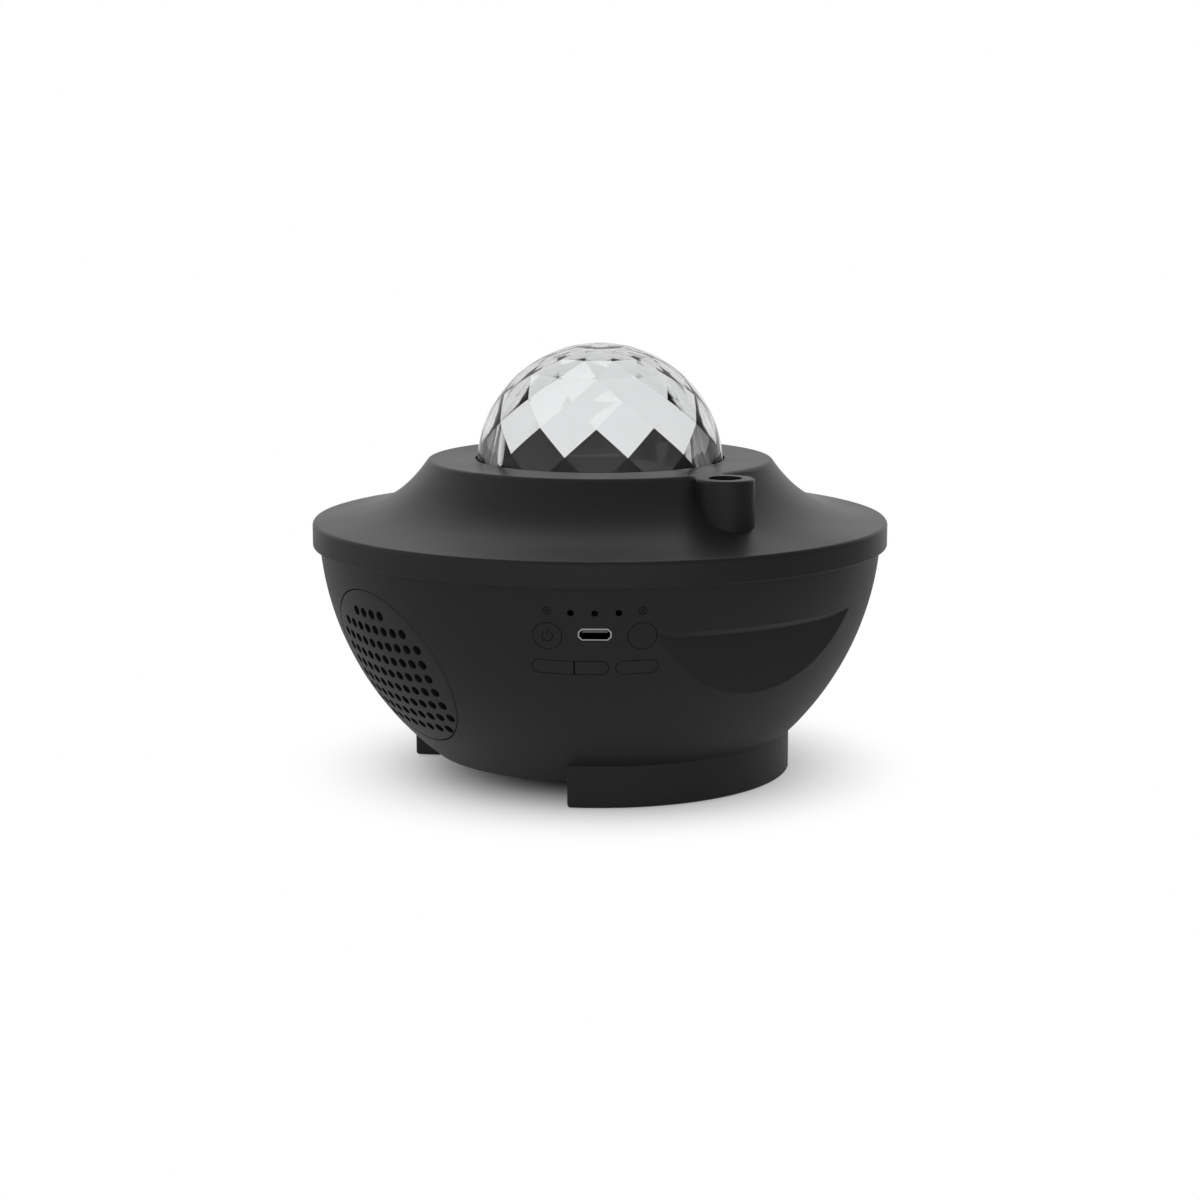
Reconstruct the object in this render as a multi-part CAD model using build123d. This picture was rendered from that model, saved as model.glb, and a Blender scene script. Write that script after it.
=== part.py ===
import os
from math import asin, cos, degrees, pi, radians, sin, sqrt, tan

from build123d import *

os.makedirs("parts", exist_ok=True)

# Night-light projector: a round bowl on two arc-shaped legs, a flared cover with a collar,
# a faceted clear dome, a laser outlet, a loudspeaker and a small control panel.
# Millimetres, +Z up. The origin is on the table under the middle of the bowl.
# Azimuths are degrees from -Y towards +X: the laser outlet is at 0, the loudspeaker at -90.

# Bowl. Its side is one circular arc, turned about the vertical axis.
bowl_margin = 23.65          # from the laser's axis out to the bowl at its widest
bowl_arc_height = 74.15      # height of the arc's centre
bowl_arc_offset = 4.05       # the arc's centre lies this far beyond the axis
bowl_floor = 6.1             # height of the flat underside
bowl_wall = 2.4
split_height = 67.0          # lower edge of the cover's skirt, where the bowl's rim slips inside

# Legs, each an arc under the front and the back of the bowl
leg_inner_radius = 48.2
leg_width = 8.0
leg_half_angle = 45.5
leg_merge_height = 16.0
leg_sole = 3.4               # thickness of a leg's underside
leg_wall = 2.0
leg_corner = 1.0
pad_proud = 0.3
pad_thickness = 1.3
pad_inset = 2.0
pad_angle = 10.0             # half of the arc that one pad covers
pad_azimuth = 20.5           # from the middle of the leg

# Finger recesses, a flat cut into the front and the back of the bowl
recess_depth = 9.95          # of the flat, from the bowl at its widest
recess_top = 52.5
recess_bottom = 20.0
recess_lip = 1.2             # chamfer along the recess's upper edge
recess_azimuths = (0, 180)

# Cover
cover_wall = 2.2
skirt_wall = 1.9
skirt_fit = 0.15             # gap between the skirt and the bowl's rim
skirt_edge_round = 0.5       # along the skirt's lower edge
skirt_height = 5.9           # of the skirt's vertical side
rim_slope = 6.8              # degrees below horizontal at the outer end of the flare
rim_round = 1.0              # width of the rounding over the skirt
rim_rise = 1.3               # from the skirt's top to the flare's outer end
rim_pull = 14.1              # handle lengths of the flare's curve
collar_pull = 15.7
collar_slope = 54.6
collar_width = 14.1          # from the dome's hole to the flare
collar_edge_height = 90.9
collar_top = 91.7

# Laser outlet on the collar
outlet_radius = 8.2
outlet_hole_radius = 4.7
outlet_blend = 2.2
outlet_edge_round = 0.8
window_radius = 6.0
window_thickness = 1.5
window_depth = 6.5           # from the collar's top to the window

# Dome, a clear shell, smooth outside and faceted inside, with a flange clamped under the collar
dome_radius = 36.0
dome_top = 125.1
dome_gap = 0.5               # round the dome in the collar's hole
dome_wall = 1.5              # at the corners of the facets
dome_facets = 12             # round one row
dome_rows = 7
dome_first_row = -3.0        # elevation of the lowest row of corners, degrees
dome_row_step = 13.5
dome_turn = -97.8            # direction of a corner of the lowest row, degrees from +X
dome_ledge = 0.2             # the bore under the facets is this much narrower
flange_drop = 2.76           # from the dome's centre down to the flange
flange_lap = 2.6             # how far the flange reaches under the collar's lip
flange_thickness = 2.0
lip_wall = 2.4

# Ring under the dome
retainer_thickness = 2.0
retainer_bore = 33.0
baffle_wall = 1.6
baffle_depth = 5.0
retainer_screws = 3
retainer_boss_radius = 3.2
retainer_boss_gap = 0.7      # between a screw's boss and the dome's flange
retainer_edge = 1.2          # outside the bosses

# Gear train: wave disc, motor pinion and grating gear
gear_module = 1.5
wave_teeth = 60
pinion_teeth = 12
grating_teeth = 18
pressure_angle = 25.0
addendum = 0.8               # shares of the module
dedendum = 1.1
tooth_thinning = 0.12        # taken off each flank
mesh_play = 0.1              # added to each centre distance
gear_bottom = 68.5
gear_height = 3.5
flank_points = 4

# Wave disc and the ring that carries it
track_depth = 5.35           # from the tooth roots in to the chassis's bearing tube
track_wall = 2.5
track_fit = 0.06
ring_wall = 4.4
ring_lip = 3.0
ring_top = 1.2               # web above the bearing tube
wave_thickness = 2.0
wave_ripple = 0.5
axial_play = 0.2

# Chassis
plate_bottom = 62.0
plate_thickness = 2.5
plate_margin = 2.0
lobe_radius = 11.5
can_bottom = 44.0            # lower end of the light funnel
can_radius = 20.0
can_wall = 2.0
hook_width = 5.0
hook_thickness = 2.4
hook_gap = 1.0
hook_azimuths = (70, -70, 110, -110)

# Case columns and screws
column_radius = 5.0
column_clearance = 2.4       # between the gear teeth and the cover's posts
retainer_clearance = 0.6     # between the dome's ring and the cover's posts
post_radius = 3.6
column_azimuths = (38, 142, -142, -38)      # over the ends of the legs, whose undersides hold the screws
well_radius = 3.0
well_roof = 7.0
screw_radius = 1.5
screw_head_radius = 2.6
screw_head_height = 2.4
screw_bite = 7.5
screw_fit = 0.05
thread_end = 0.5             # a blind hole is this much deeper than its screw
small_screw_radius = 1.0
small_head_radius = 1.9
small_head_height = 1.4
small_bite = 5.0
head_room = 0.2              # round a small screw's sunk head

# Motor
motor_radius = 10.0
motor_length = 13.0
motor_corner = 1.0
motor_boss_radius = 3.3      # end bearing of the motor
motor_boss = 1.2
gearbox_radius = 12.0
gearbox_height = 9.0
motor_ear_distance = 15.5
motor_ear_radius = 3.2
ear_thickness = 2.4
shaft_radius = 1.5
shaft_depth = 5.0
shaft_fit = 0.05

# Laser
laser_radius = 4.0
laser_length = 20.0
laser_gap = 1.2              # below the top of the chassis plate
holder_width = 22.0
holder_depth = 13.0
holder_height = 12.0
holder_screw_offset = 8.0
holder_lug = 2.4             # under the heads of its screws
bearing_radius = 6.5
bearing_bore = 4.9
bearing_ledge_radius = 9.0
bearing_ledge_height = 1.8
grating_hub_radius = 10.0
grating_web = 1.4
grating_window = 4.5
film_radius = 8.0
film_thickness = 0.4

# Light source
led_board_radius = 27.0
led_board_thickness = 1.6
led_size = 4.6
led_height = 1.4
led_spacing = 5.8
lens_radius = 9.5
lens_height = 7.5
lens_cavity_radius = 7.8
lens_cavity_height = 2.2
lens_edge = 0.5              # straight edge under the lens's crown
sink_base = 3.0
fin_height = 9.0
fin_thickness = 1.6
fin_pitch = 6.0
fin_count = 7
led_screw_distance = 23.0
led_screw_azimuths = (30, 150, -90)

# Loudspeaker. Depths are measured inwards from the bowl's outside, at the grille's middle.
speaker_azimuth = -90.0
speaker_height = 36.3
grille_radius = 24.9
grille_gap = 0.3
grille_plate = 1.6
grille_rim = 1.6
grille_flange = 2.2
grille_seat = 6.5
grille_flange_thickness = 1.2
grille_hole_radius = 1.45
grille_side_margin = 6.6     # from the last hole of the widest row to the grille's edge
grille_top_margin = 6.5
grille_row_counts = (4, 8, 10, 10, 10, 10, 10, 10, 8)
cloth_thickness = 0.4
gasket_thickness = 2.8
basket_flange = 1.2
basket_step = 2.2            # the basket's throat is this much narrower than the grille
basket_back = 9.0            # from the flange to the back plate
basket_wall = 1.0
tab_width = 8.0              # solder tab for the leads
tab_length = 5.5
speaker_post_margin = 2.9    # from the grille's flange to a screw's axis
speaker_post_radius = 3.0
speaker_post_angles = (45, 135, 225, 315)
magnet_radius = 11.0
magnet_length = 9.8
coil_radius = 6.6
coil_wall = 0.7
coil_gap = 0.4
coil_length = 9.0
surround_width = 4.2
surround_skin = 0.5
cone_skin = 0.75
cone_neck = 0.75             # height of the ring that holds the coil
cone_clearance = 0.45        # left behind the cone at the end of its stroke
cap_rise = 2.0
surround_roll = 1.4
cone_travel = 0.8            # each way

# Control panel. u runs sideways, v up the slope, w outwards from the bowl's surface.
panel_azimuth = -37.0
panel_height = 52.0
pad_half_width = 18.5
pad_low = -15.8
pad_high = 13.2
pad_depth = 5.0              # flat inner face behind the buttons
button_fit = 0.17
button_flange = 0.7
flange_room = 0.3
button_flange_thickness = 1.0
button_rest_gap = 0.1
button_stem_radius = 1.5
button_stem = 1.2
button_travel = 0.6
round_button_radius = 3.95   # of its hole
round_button_u = 12.65
round_button_v = 1.35
pill_height = 4.3
pill_v = -7.9
pill_left_end = -16.9
pill_divider = -5.55
pill_middle_end = 3.75
pill_right_start = 5.45
pill_right_end = 17.0
pilot_radius = 0.9
pilot_pitch = 6.4
pilot_v = 8.2
port_width = 9.0
port_height = 3.5
port_corner = 1.0
port_v = 2.05
port_wall = 0.35
port_fit = 0.1
port_recess = 0.3
tongue_width = 6.8
tongue_height = 0.8
tongue_lift = 0.55
tongue_recess = 1.2
plug_block = 2.5
panel_board_thickness = 1.6
panel_board_half_width = 18.8
panel_board_low = -15.7
panel_board_high = 12.4
panel_post_radius = 2.2
panel_posts = ((-16.4, 9.6), (16.4, 9.6), (0.0, -13.3))
mat_thickness = 0.8
mat_low = -10.7
mat_high = 5.9
mat_dome_radius = 2.4
mat_fold = 0.2               # height left of a dome that is pressed in
lamp_radius = 1.6
lamp_gap = 0.3
microphone_radius = 2.08
microphone_port = 0.64
microphone_lip = 0.6

# Main board
board_width = 76.0
board_depth = 50.0
board_thickness = 1.6
board_standoff = 5.1
board_post_radius = 3.0
board_post_inset_x = 5.0
board_post_inset_y = 4.5
board_corner = 3.0
radio_board = (20.0, -6.0, 14.0, 18.0, 0.8)     # x, y, width, depth, height on the board
radio_can = (20.0, -4.0, 12.0, 12.0, 2.2)
chips = (
    (0.0, 0.0, 10.0, 10.0, 1.4),
    (-14.0, 10.0, 6.0, 5.0, 1.4),
    (-16.0, -10.0, 8.0, 6.0, 1.4),
)
capacitor_radius = 3.0
capacitor_height = 7.5
capacitor_places = ((2.0, 15.0), (10.0, 15.0), (-6.0, 15.0))
socket_size = (7.0, 4.0, 4.5)
speaker_socket = (-30.0, 8.0)
motor_socket = (12.0, 21.0)
light_socket = (-2.0, -19.0)
laser_socket = (14.0, -21.0)
panel_socket = (-12.0, -21.0)

# Internal leads
lead_radius = 1.1
lead_slack = 0.45            # share of a run that its bend takes
speaker_lead_rise = 11.0     # straight up out of its socket
light_lead_rise = 5.0
motor_lead_rise = 6.0
laser_lead_rise = 7.0
panel_lead_rise = 8.0
speaker_lead_reach = 8.0     # straight out of the part it feeds
motor_lead_reach = 9.0
laser_lead_reach = 10.0
panel_lead_reach = 9.0
light_lead_gap = 5.0         # outside the light source's board
light_lead_height = 30.0
panel_lead_place = (9.0, -6.0)              # on the back of the panel's board

# Worked out from the sizes above
leg_outer_radius = leg_inner_radius + leg_width
dome_centre = dome_top - dome_radius
dome_hole_radius = dome_radius + dome_gap
flange_top = dome_centre - flange_drop
flange_bottom = flange_top - flange_thickness
flange_radius = dome_hole_radius + flange_lap
collar_underside = collar_top - cover_wall
collar_edge_radius = dome_hole_radius + collar_width
wave_pitch_radius = gear_module * wave_teeth / 2
wave_tip_radius = wave_pitch_radius + addendum * gear_module
track_radius = wave_pitch_radius - dedendum * gear_module - track_depth
motor_distance = gear_module * (wave_teeth + pinion_teeth) / 2 + mesh_play
laser_distance = gear_module * (wave_teeth + grating_teeth) / 2 + mesh_play
bowl_equator = laser_distance + bowl_margin
bowl_arc_radius = bowl_equator + bowl_arc_offset
recess_distance = bowl_equator - recess_depth
skirt_bore = sqrt(bowl_arc_radius**2 - (split_height - bowl_arc_height)**2) - bowl_arc_offset + skirt_fit
rim_radius = skirt_bore + skirt_wall
rim_shoulder_radius = rim_radius - rim_round
rim_edge = split_height + skirt_height
rim_shoulder_height = rim_edge + rim_rise
gear_top = gear_bottom + gear_height
plate_top = plate_bottom + plate_thickness
retainer_screw_distance = flange_radius + retainer_boss_gap + retainer_boss_radius
retainer_radius = retainer_screw_distance + retainer_boss_radius + retainer_edge
post_edge = max(wave_tip_radius + column_clearance, retainer_radius + retainer_clearance)
column_distance = post_edge + post_radius
plate_radius = column_distance + column_radius + plate_margin
track_top = gear_top + axial_play
rim_inner_height = rim_shoulder_height - cover_wall * cos(radians(rim_slope))
inner_floor = bowl_floor + bowl_wall
board_bottom = inner_floor + board_standoff
board_top = board_bottom + board_thickness
button_back = button_rest_gap + button_flange_thickness + button_stem
panel_board_gap = button_back + button_rest_gap + button_travel + mat_fold + mat_thickness
panel_board_depth = pad_depth + panel_board_gap
gasket_front = grille_seat + grille_flange_thickness
basket_front = gasket_front + gasket_thickness
basket_end = basket_front + basket_back
basket_throat = grille_radius - basket_step
cone_edge_radius = basket_throat - surround_width
cone_depth = basket_back - basket_flange - basket_wall - cone_neck - cone_travel - cone_clearance
speaker_post_distance = grille_radius + grille_flange + speaker_post_margin
grille_pitch = 2 * (grille_radius - grille_side_margin) / (max(grille_row_counts) - 1)
grille_row_pitch = 2 * (grille_radius - grille_top_margin) / (len(grille_row_counts) - 1)
board_post_x = board_width / 2 - board_post_inset_x
board_post_y = board_depth / 2 - board_post_inset_y
upright = (Align.CENTER, Align.CENTER, Align.MIN)


def rod(radius, low, high):
    return Pos(0, 0, low) * Cylinder(radius, high - low, align=upright)


def tube(outer, inner, low, high):
    return rod(outer, low, high) - rod(inner, low, high)


def block(width, depth, low, high):
    return Pos(0, 0, low) * Box(width, depth, high - low, align=upright)


def turned(*curves):
    # Solid of revolution about +Z from curves drawn as radius and height
    face = make_face(Curve() + list(curves))
    return revolve(Plane.XZ * face, axis=Axis.Z)


def turned_polygon(*points):
    return turned(Polyline(*points, close=True))


def spot(distance, azimuth, height=0.0):
    angle = radians(azimuth)
    return Pos(distance * sin(angle), -distance * cos(angle), height)


def group(solids):
    return Compound(children=list(solids))


def save(node, shape):
    shape.label = node
    export_step(shape, f"parts/{node}.step")


def screw(head_radius, head_height, radius, length):
    # Pan-head screw along +Z: the head lies under z = 0 and has a cross recess
    head = rod(head_radius, -head_height, 0)
    head = fillet(head.edges().sort_by(Axis.Z)[0], head_height * 0.35)
    slot = block(head_radius * 1.1, radius * 0.4, -head_height, -head_height * 0.5)
    return head - slot - Rot(0, 0, 90) * slot + rod(radius, 0, length)


def case_screw(length):
    return screw(screw_head_radius, screw_head_height, screw_radius, length)


def small_screw(length):
    return screw(small_head_radius, small_head_height, small_screw_radius, length)


def small_pilot(low, high):
    # Hole that a small screw goes into or through
    return rod(small_screw_radius + screw_fit, low, high)


# Bowl surface

def bowl_radius(height, inset=0.0):
    reach = bowl_arc_radius - inset
    return sqrt(reach**2 - (height - bowl_arc_height)**2) - bowl_arc_offset


def bowl_solid(inset, low, high):
    # Everything inside the bowl's surface moved inwards by inset, between two heights
    middle = (low + split_height) / 2
    side = ThreePointArc(
        (bowl_radius(low, inset), low),
        (bowl_radius(middle, inset), middle),
        (bowl_radius(split_height, inset), split_height),
    )
    rim = bowl_radius(split_height, inset)
    ends = Polyline((rim, split_height), (rim, high), (0, high), (0, low), (bowl_radius(low, inset), low))
    return turned(side, ends)


def surface_plane(azimuth, height):
    # Touches the bowl's outside: x sideways, y up the slope, z outwards
    tilt = asin((bowl_arc_height - height) / bowl_arc_radius)
    turn = radians(azimuth)
    reach = bowl_radius(height)
    return Plane(
        origin=(reach * sin(turn), -reach * cos(turn), height),
        x_dir=(cos(turn), sin(turn), 0),
        z_dir=(sin(turn) * cos(tilt), -cos(turn) * cos(tilt), -sin(tilt)),
    )


panel = surface_plane(panel_azimuth, panel_height).location
speaker = surface_plane(speaker_azimuth, speaker_height).location


# Housing

def arc_sector(inner, outer, half_angle, low, high, corner):
    # Upright piece of a ring about the -Y direction
    cheek = tan(radians(half_angle)) * outer * 2
    wedge = make_face(Polyline((0, 0), (-cheek, -outer * 2), (cheek, -outer * 2), close=True))
    sketch = (Circle(outer) - Circle(inner)) & wedge
    sketch = fillet(sketch.vertices(), corner)
    return Pos(0, 0, low) * extrude(sketch, high - low)


def legs():
    leg = arc_sector(
        leg_inner_radius, leg_outer_radius, leg_half_angle, pad_proud, leg_merge_height, leg_corner
    )
    leg = fillet(leg.edges().group_by(Axis.Z)[0], leg_corner)
    return [leg, Rot(0, 0, 180) * leg]


def leg_hollows():
    trim = degrees(leg_wall / leg_inner_radius)
    hollow = arc_sector(
        leg_inner_radius + leg_wall,
        leg_outer_radius - leg_wall,
        leg_half_angle - trim,
        pad_proud + leg_sole,
        leg_merge_height,
        leg_corner / 2,
    )
    return [hollow, Rot(0, 0, 180) * hollow]


def pad_solids(growth=0.0):
    pads = []
    for side in (0, 180):
        for azimuth in (-pad_azimuth, pad_azimuth):
            pad = arc_sector(
                leg_inner_radius + pad_inset - growth,
                leg_outer_radius - pad_inset + growth,
                pad_angle + degrees(growth / leg_inner_radius),
                0,
                pad_thickness,
                leg_corner,
            )
            pads.append(Rot(0, 0, side + azimuth) * pad)
    return pads


def recess_cut(inset):
    # Space outside the recess's flat, moved inwards by inset, with a chamfer along its upper edge
    top = recess_top + inset
    edge = bowl_radius(top)
    reach = 2 * bowl_arc_radius
    above = Pos(0, -recess_distance + inset, recess_bottom) * Box(
        reach, reach, 2 * recess_top, align=(Align.CENTER, Align.MAX, Align.MIN)
    )
    chamfer_ring = turned_polygon(
        (edge - recess_lip, top), (edge + recess_lip, top + 2 * recess_lip), (edge + recess_lip, top)
    )
    below = above & block(reach, 2 * reach, 0, top)
    cut = below + (chamfer_ring & above)
    return [Rot(0, 0, azimuth) * cut for azimuth in recess_azimuths]


def pill_outline(start, end, height, round_start, round_end):
    # Level slot with round or straight ends
    radius = height / 2
    left = start + radius if round_start else start
    right = end - radius if round_end else end
    shape = Pos((left + right) / 2, 0) * Rectangle(right - left, height)
    if round_start:
        shape += Pos(left, 0) * Circle(radius)
    if round_end:
        shape += Pos(right, 0) * Circle(radius)
    return Pos(0, pill_v) * shape


def round_outline(u, radius):
    return Pos(u, round_button_v) * Circle(radius)


def port_outline(growth):
    # Slot with cut corners
    shape = Rectangle(port_width + 2 * growth, port_height + 2 * growth)
    return Pos(0, port_v) * chamfer(shape.vertices(), port_corner)


def panel_prism(sketch, low, high):
    return panel * (Pos(0, 0, low) * extrude(sketch, high - low))


def panel_holes():
    openings = [
        round_outline(-round_button_u, round_button_radius),
        round_outline(round_button_u, round_button_radius),
        pill_outline(pill_left_end, pill_middle_end, pill_height, True, True),
        pill_outline(pill_right_start, pill_right_end, pill_height, True, True),
        port_outline(port_fit),
    ]
    openings += [Pos(i * pilot_pitch, pilot_v) * Circle(pilot_radius) for i in (-1, 0, 1)]
    return [panel_prism(opening, -pad_depth - 1, 3) for opening in openings]


def flange_pockets():
    growth = button_flange + flange_room
    height = pill_height + 2 * growth
    plans = [
        round_outline(-round_button_u, round_button_radius + growth),
        round_outline(round_button_u, round_button_radius + growth),
        pill_outline(pill_left_end - growth, pill_middle_end + growth, height, True, True),
        pill_outline(pill_right_start - growth, pill_right_end + growth, height, True, True),
    ]
    return [panel_prism(plan, -panel_board_depth, -pad_depth) for plan in plans]


def board_posts():
    return [(x, y) for x in (-board_post_x, board_post_x) for y in (-board_post_y, board_post_y)]


def speaker_post(angle):
    return speaker * Rot(0, 0, angle) * Pos(speaker_post_distance, 0, 0)


def bowl_housing():
    body = bowl_solid(0, bowl_floor, rim_inner_height)
    for cut in recess_cut(0):
        body -= cut
    for leg in legs():
        body += leg
    hollow = bowl_solid(bowl_wall, inner_floor, rim_inner_height + 1)
    for cut in recess_cut(bowl_wall):
        hollow -= cut
    for space in leg_hollows():
        hollow += space
    hollow -= panel * Pos(0, (pad_low + pad_high) / 2, -pad_depth) * Box(
        2 * pad_half_width, pad_high - pad_low, 3 * pad_depth, align=upright
    )
    hollow -= speaker * rod(grille_radius + 2 * grille_flange, -grille_seat, grille_seat)
    for angle in speaker_post_angles:
        hollow -= speaker_post(angle) * rod(speaker_post_radius, -basket_front, grille_seat)
    for u, v in panel_posts:
        hollow -= panel * Pos(u, v, 0) * rod(panel_post_radius, -panel_board_depth, 0)
    for azimuth in column_azimuths:
        hollow -= spot(column_distance, azimuth) * rod(column_radius, 0, plate_bottom)
    for x, y in board_posts():
        hollow -= Pos(x, y) * rod(board_post_radius, 0, board_bottom)
    body -= hollow
    body -= speaker * rod(grille_radius + grille_gap, -grille_seat, grille_seat)
    body -= speaker * rod(grille_radius + grille_flange + grille_gap, -basket_front, -grille_seat)
    for hole in panel_holes() + flange_pockets():
        body -= hole
    for pad in pad_solids(growth=screw_fit):
        body -= pad
    for azimuth in column_azimuths:
        body -= spot(column_distance, azimuth) * rod(well_radius, 0, plate_bottom - well_roof)
        body -= spot(column_distance, azimuth) * rod(screw_radius + screw_fit, 0, plate_bottom)
    for x, y in board_posts():
        body -= Pos(x, y) * small_pilot(board_bottom - small_bite - thread_end, board_bottom)
    for u, v in panel_posts:
        body -= panel * Pos(u, v, 0) * small_pilot(-panel_board_depth, -panel_board_depth + small_bite)
    for angle in speaker_post_angles:
        body -= speaker_post(angle) * small_pilot(-basket_front, -basket_front + small_bite - basket_flange)
    return body


def flare(inset, end_radius):
    # Concave sweep from the collar's edge down to the rim, moved inwards by inset
    steep = radians(collar_slope)
    gentle = radians(rim_slope)
    start = (collar_edge_radius - inset * sin(steep), collar_edge_height - inset * cos(steep))
    end = (end_radius, rim_shoulder_height - inset * cos(gentle))
    return Bezier(
        start,
        (start[0] + collar_pull * cos(steep), start[1] - collar_pull * sin(steep)),
        (end[0] - rim_pull * cos(gentle), end[1] + rim_pull * sin(gentle)),
        end,
    )


def collar_corner():
    # Radius at which the flare, carried on straight, meets the collar's top
    return collar_edge_radius - (collar_top - collar_edge_height) / tan(radians(collar_slope))


def outlet_outline():
    # The collar's circle and the outlet's, joined by two hollow blends
    to_collar = collar_corner() + outlet_blend
    to_outlet = outlet_radius + outlet_blend
    y = -(to_collar**2 - to_outlet**2 + laser_distance**2) / (2 * laser_distance)
    x = sqrt(to_collar**2 - y**2)
    shape = Circle(collar_corner()) + Pos(0, -laser_distance) * Circle(outlet_radius)
    shape += make_face(Polyline((0, 0), (x, y), (0, -laser_distance), (-x, y), close=True))
    return shape - Pos(x, y) * Circle(outlet_blend) - Pos(-x, y) * Circle(outlet_blend)


def rounded(start, corner, end):
    # Arc from start to end that leans towards the corner
    middle = [(a + b) / 4 + c / 2 for a, b, c in zip(start, end, corner)]
    return ThreePointArc(start, tuple(middle), end)


def cover_outside():
    rim_corner = rim_shoulder_height - (rim_radius - rim_shoulder_radius) * tan(radians(rim_slope))
    shoulder = (rim_shoulder_radius, rim_shoulder_height)
    rim_curve = rounded((rim_radius, rim_edge), (rim_radius, rim_corner), shoulder)
    flat = (2 * collar_corner() - collar_edge_radius, collar_top)
    collar_curve = rounded((collar_edge_radius, collar_edge_height), (collar_corner(), collar_top), flat)
    edge_start = (rim_radius - skirt_edge_round, split_height)
    edge_end = (rim_radius, split_height + skirt_edge_round)
    edge_curve = rounded(edge_start, (rim_radius, split_height), edge_end)
    inside = Polyline(flat, (0, collar_top), (0, split_height), edge_start)
    side = Polyline(edge_end, (rim_radius, rim_edge))
    body = turned(flare(0, rim_shoulder_radius), rim_curve, collar_curve, inside, edge_curve, side)
    outlet = extrude(outlet_outline(), collar_top - rim_edge)
    outlet = fillet(outlet.edges().group_by(Axis.Z)[-1], outlet_edge_round)
    return body + Pos(0, 0, rim_edge) * outlet


def cover_hollow():
    sweep_edge = flare(cover_wall, skirt_bore)
    start = sweep_edge @ 0
    low = split_height - 1
    top = Polyline((start.X, start.Y), (start.X, collar_underside), (0, collar_underside))
    bottom = Polyline((0, collar_underside), (0, low), (skirt_bore, low), (skirt_bore, rim_inner_height))
    return turned(sweep_edge, top, bottom)


def retainer_places():
    step = 360 / retainer_screws
    return [spot(retainer_screw_distance, step * (index + 0.5)) for index in range(retainer_screws)]


def top_cover():
    hollow = cover_hollow()
    hollow -= tube(dome_hole_radius + lip_wall, dome_hole_radius, flange_top, collar_top)
    for azimuth in column_azimuths:
        hollow -= spot(column_distance, azimuth) * rod(post_radius, plate_top, collar_top)
    for place in retainer_places():
        hollow -= place * rod(retainer_boss_radius, flange_bottom, collar_top)
    body = cover_outside() - hollow
    body -= rod(dome_hole_radius, flange_bottom, collar_top + 1)
    body -= Pos(0, -laser_distance) * rod(outlet_hole_radius, gear_top, collar_top + 1)
    body -= Pos(0, -laser_distance) * rod(window_radius + screw_fit, gear_top, collar_top - window_depth)
    pilot_end = plate_top + screw_bite + thread_end
    for azimuth in column_azimuths:
        body -= spot(column_distance, azimuth) * rod(screw_radius + screw_fit, plate_top, pilot_end)
    for place in retainer_places():
        body -= place * small_pilot(flange_bottom, flange_bottom + small_bite - retainer_thickness)
    return body


def case_screws():
    length = well_roof + plate_thickness + screw_bite
    seat = plate_bottom - well_roof
    return group(spot(column_distance, a, seat) * case_screw(length) for a in column_azimuths)


def laser_window():
    top = collar_top - window_depth
    return Pos(0, -laser_distance) * rod(window_radius, top - window_thickness, top)


# Dome

def dome_corner(row, index, radius):
    # Corners of every second row are turned by half a step
    elevation = radians(dome_first_row + dome_row_step * row)
    turn = radians(dome_turn + 360 / dome_facets * (index + 0.5 * (row % 2)))
    flat = radius * cos(elevation)
    return Vector(flat * cos(turn), flat * sin(turn), dome_centre + radius * sin(elevation))


def facet(*corners):
    return Face(Wire.make_polygon(list(corners), close=True))


def faceted_core(radius):
    # Closed form of triangles with every corner on a sphere
    apex = Vector(0, 0, dome_centre + radius)
    faces = [facet(*[dome_corner(0, i, radius) for i in range(dome_facets)])]
    for row in range(dome_rows - 1):
        shift = row % 2
        for i in range(dome_facets):
            low, low_next = dome_corner(row, i, radius), dome_corner(row, i + 1, radius)
            high, high_next = dome_corner(row + 1, i, radius), dome_corner(row + 1, i + 1, radius)
            if shift:
                faces += [facet(low, low_next, high_next), facet(low, high_next, high)]
            else:
                faces += [facet(low, low_next, high), facet(low_next, high_next, high)]
    last = dome_rows - 1
    for i in range(dome_facets):
        faces.append(facet(dome_corner(last, i, radius), dome_corner(last, i + 1, radius), apex))
    return Solid(Shell(faces))


def dome_lens():
    inner = dome_radius - dome_wall
    ball = Pos(0, 0, dome_centre) * Sphere(dome_radius)
    body = (ball & rod(dome_radius, flange_top, dome_top)) + rod(flange_radius, flange_bottom, flange_top)
    body -= faceted_core(inner)
    return body - rod(inner * cos(pi / dome_facets) - dome_ledge, flange_bottom - 1, dome_centre)


def dome_retainer():
    low = flange_bottom - retainer_thickness
    body = tube(retainer_radius, retainer_bore, low, flange_bottom)
    body += tube(retainer_bore + baffle_wall, retainer_bore, low - baffle_depth, low)
    for place in retainer_places():
        body -= place * small_pilot(low, flange_bottom)
    return body


def retainer_screw_set():
    seat = Pos(0, 0, flange_bottom - retainer_thickness)
    return group(place * seat * small_screw(small_bite - thread_end) for place in retainer_places())


# Gears

def involute(angle):
    return tan(angle) - angle


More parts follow.
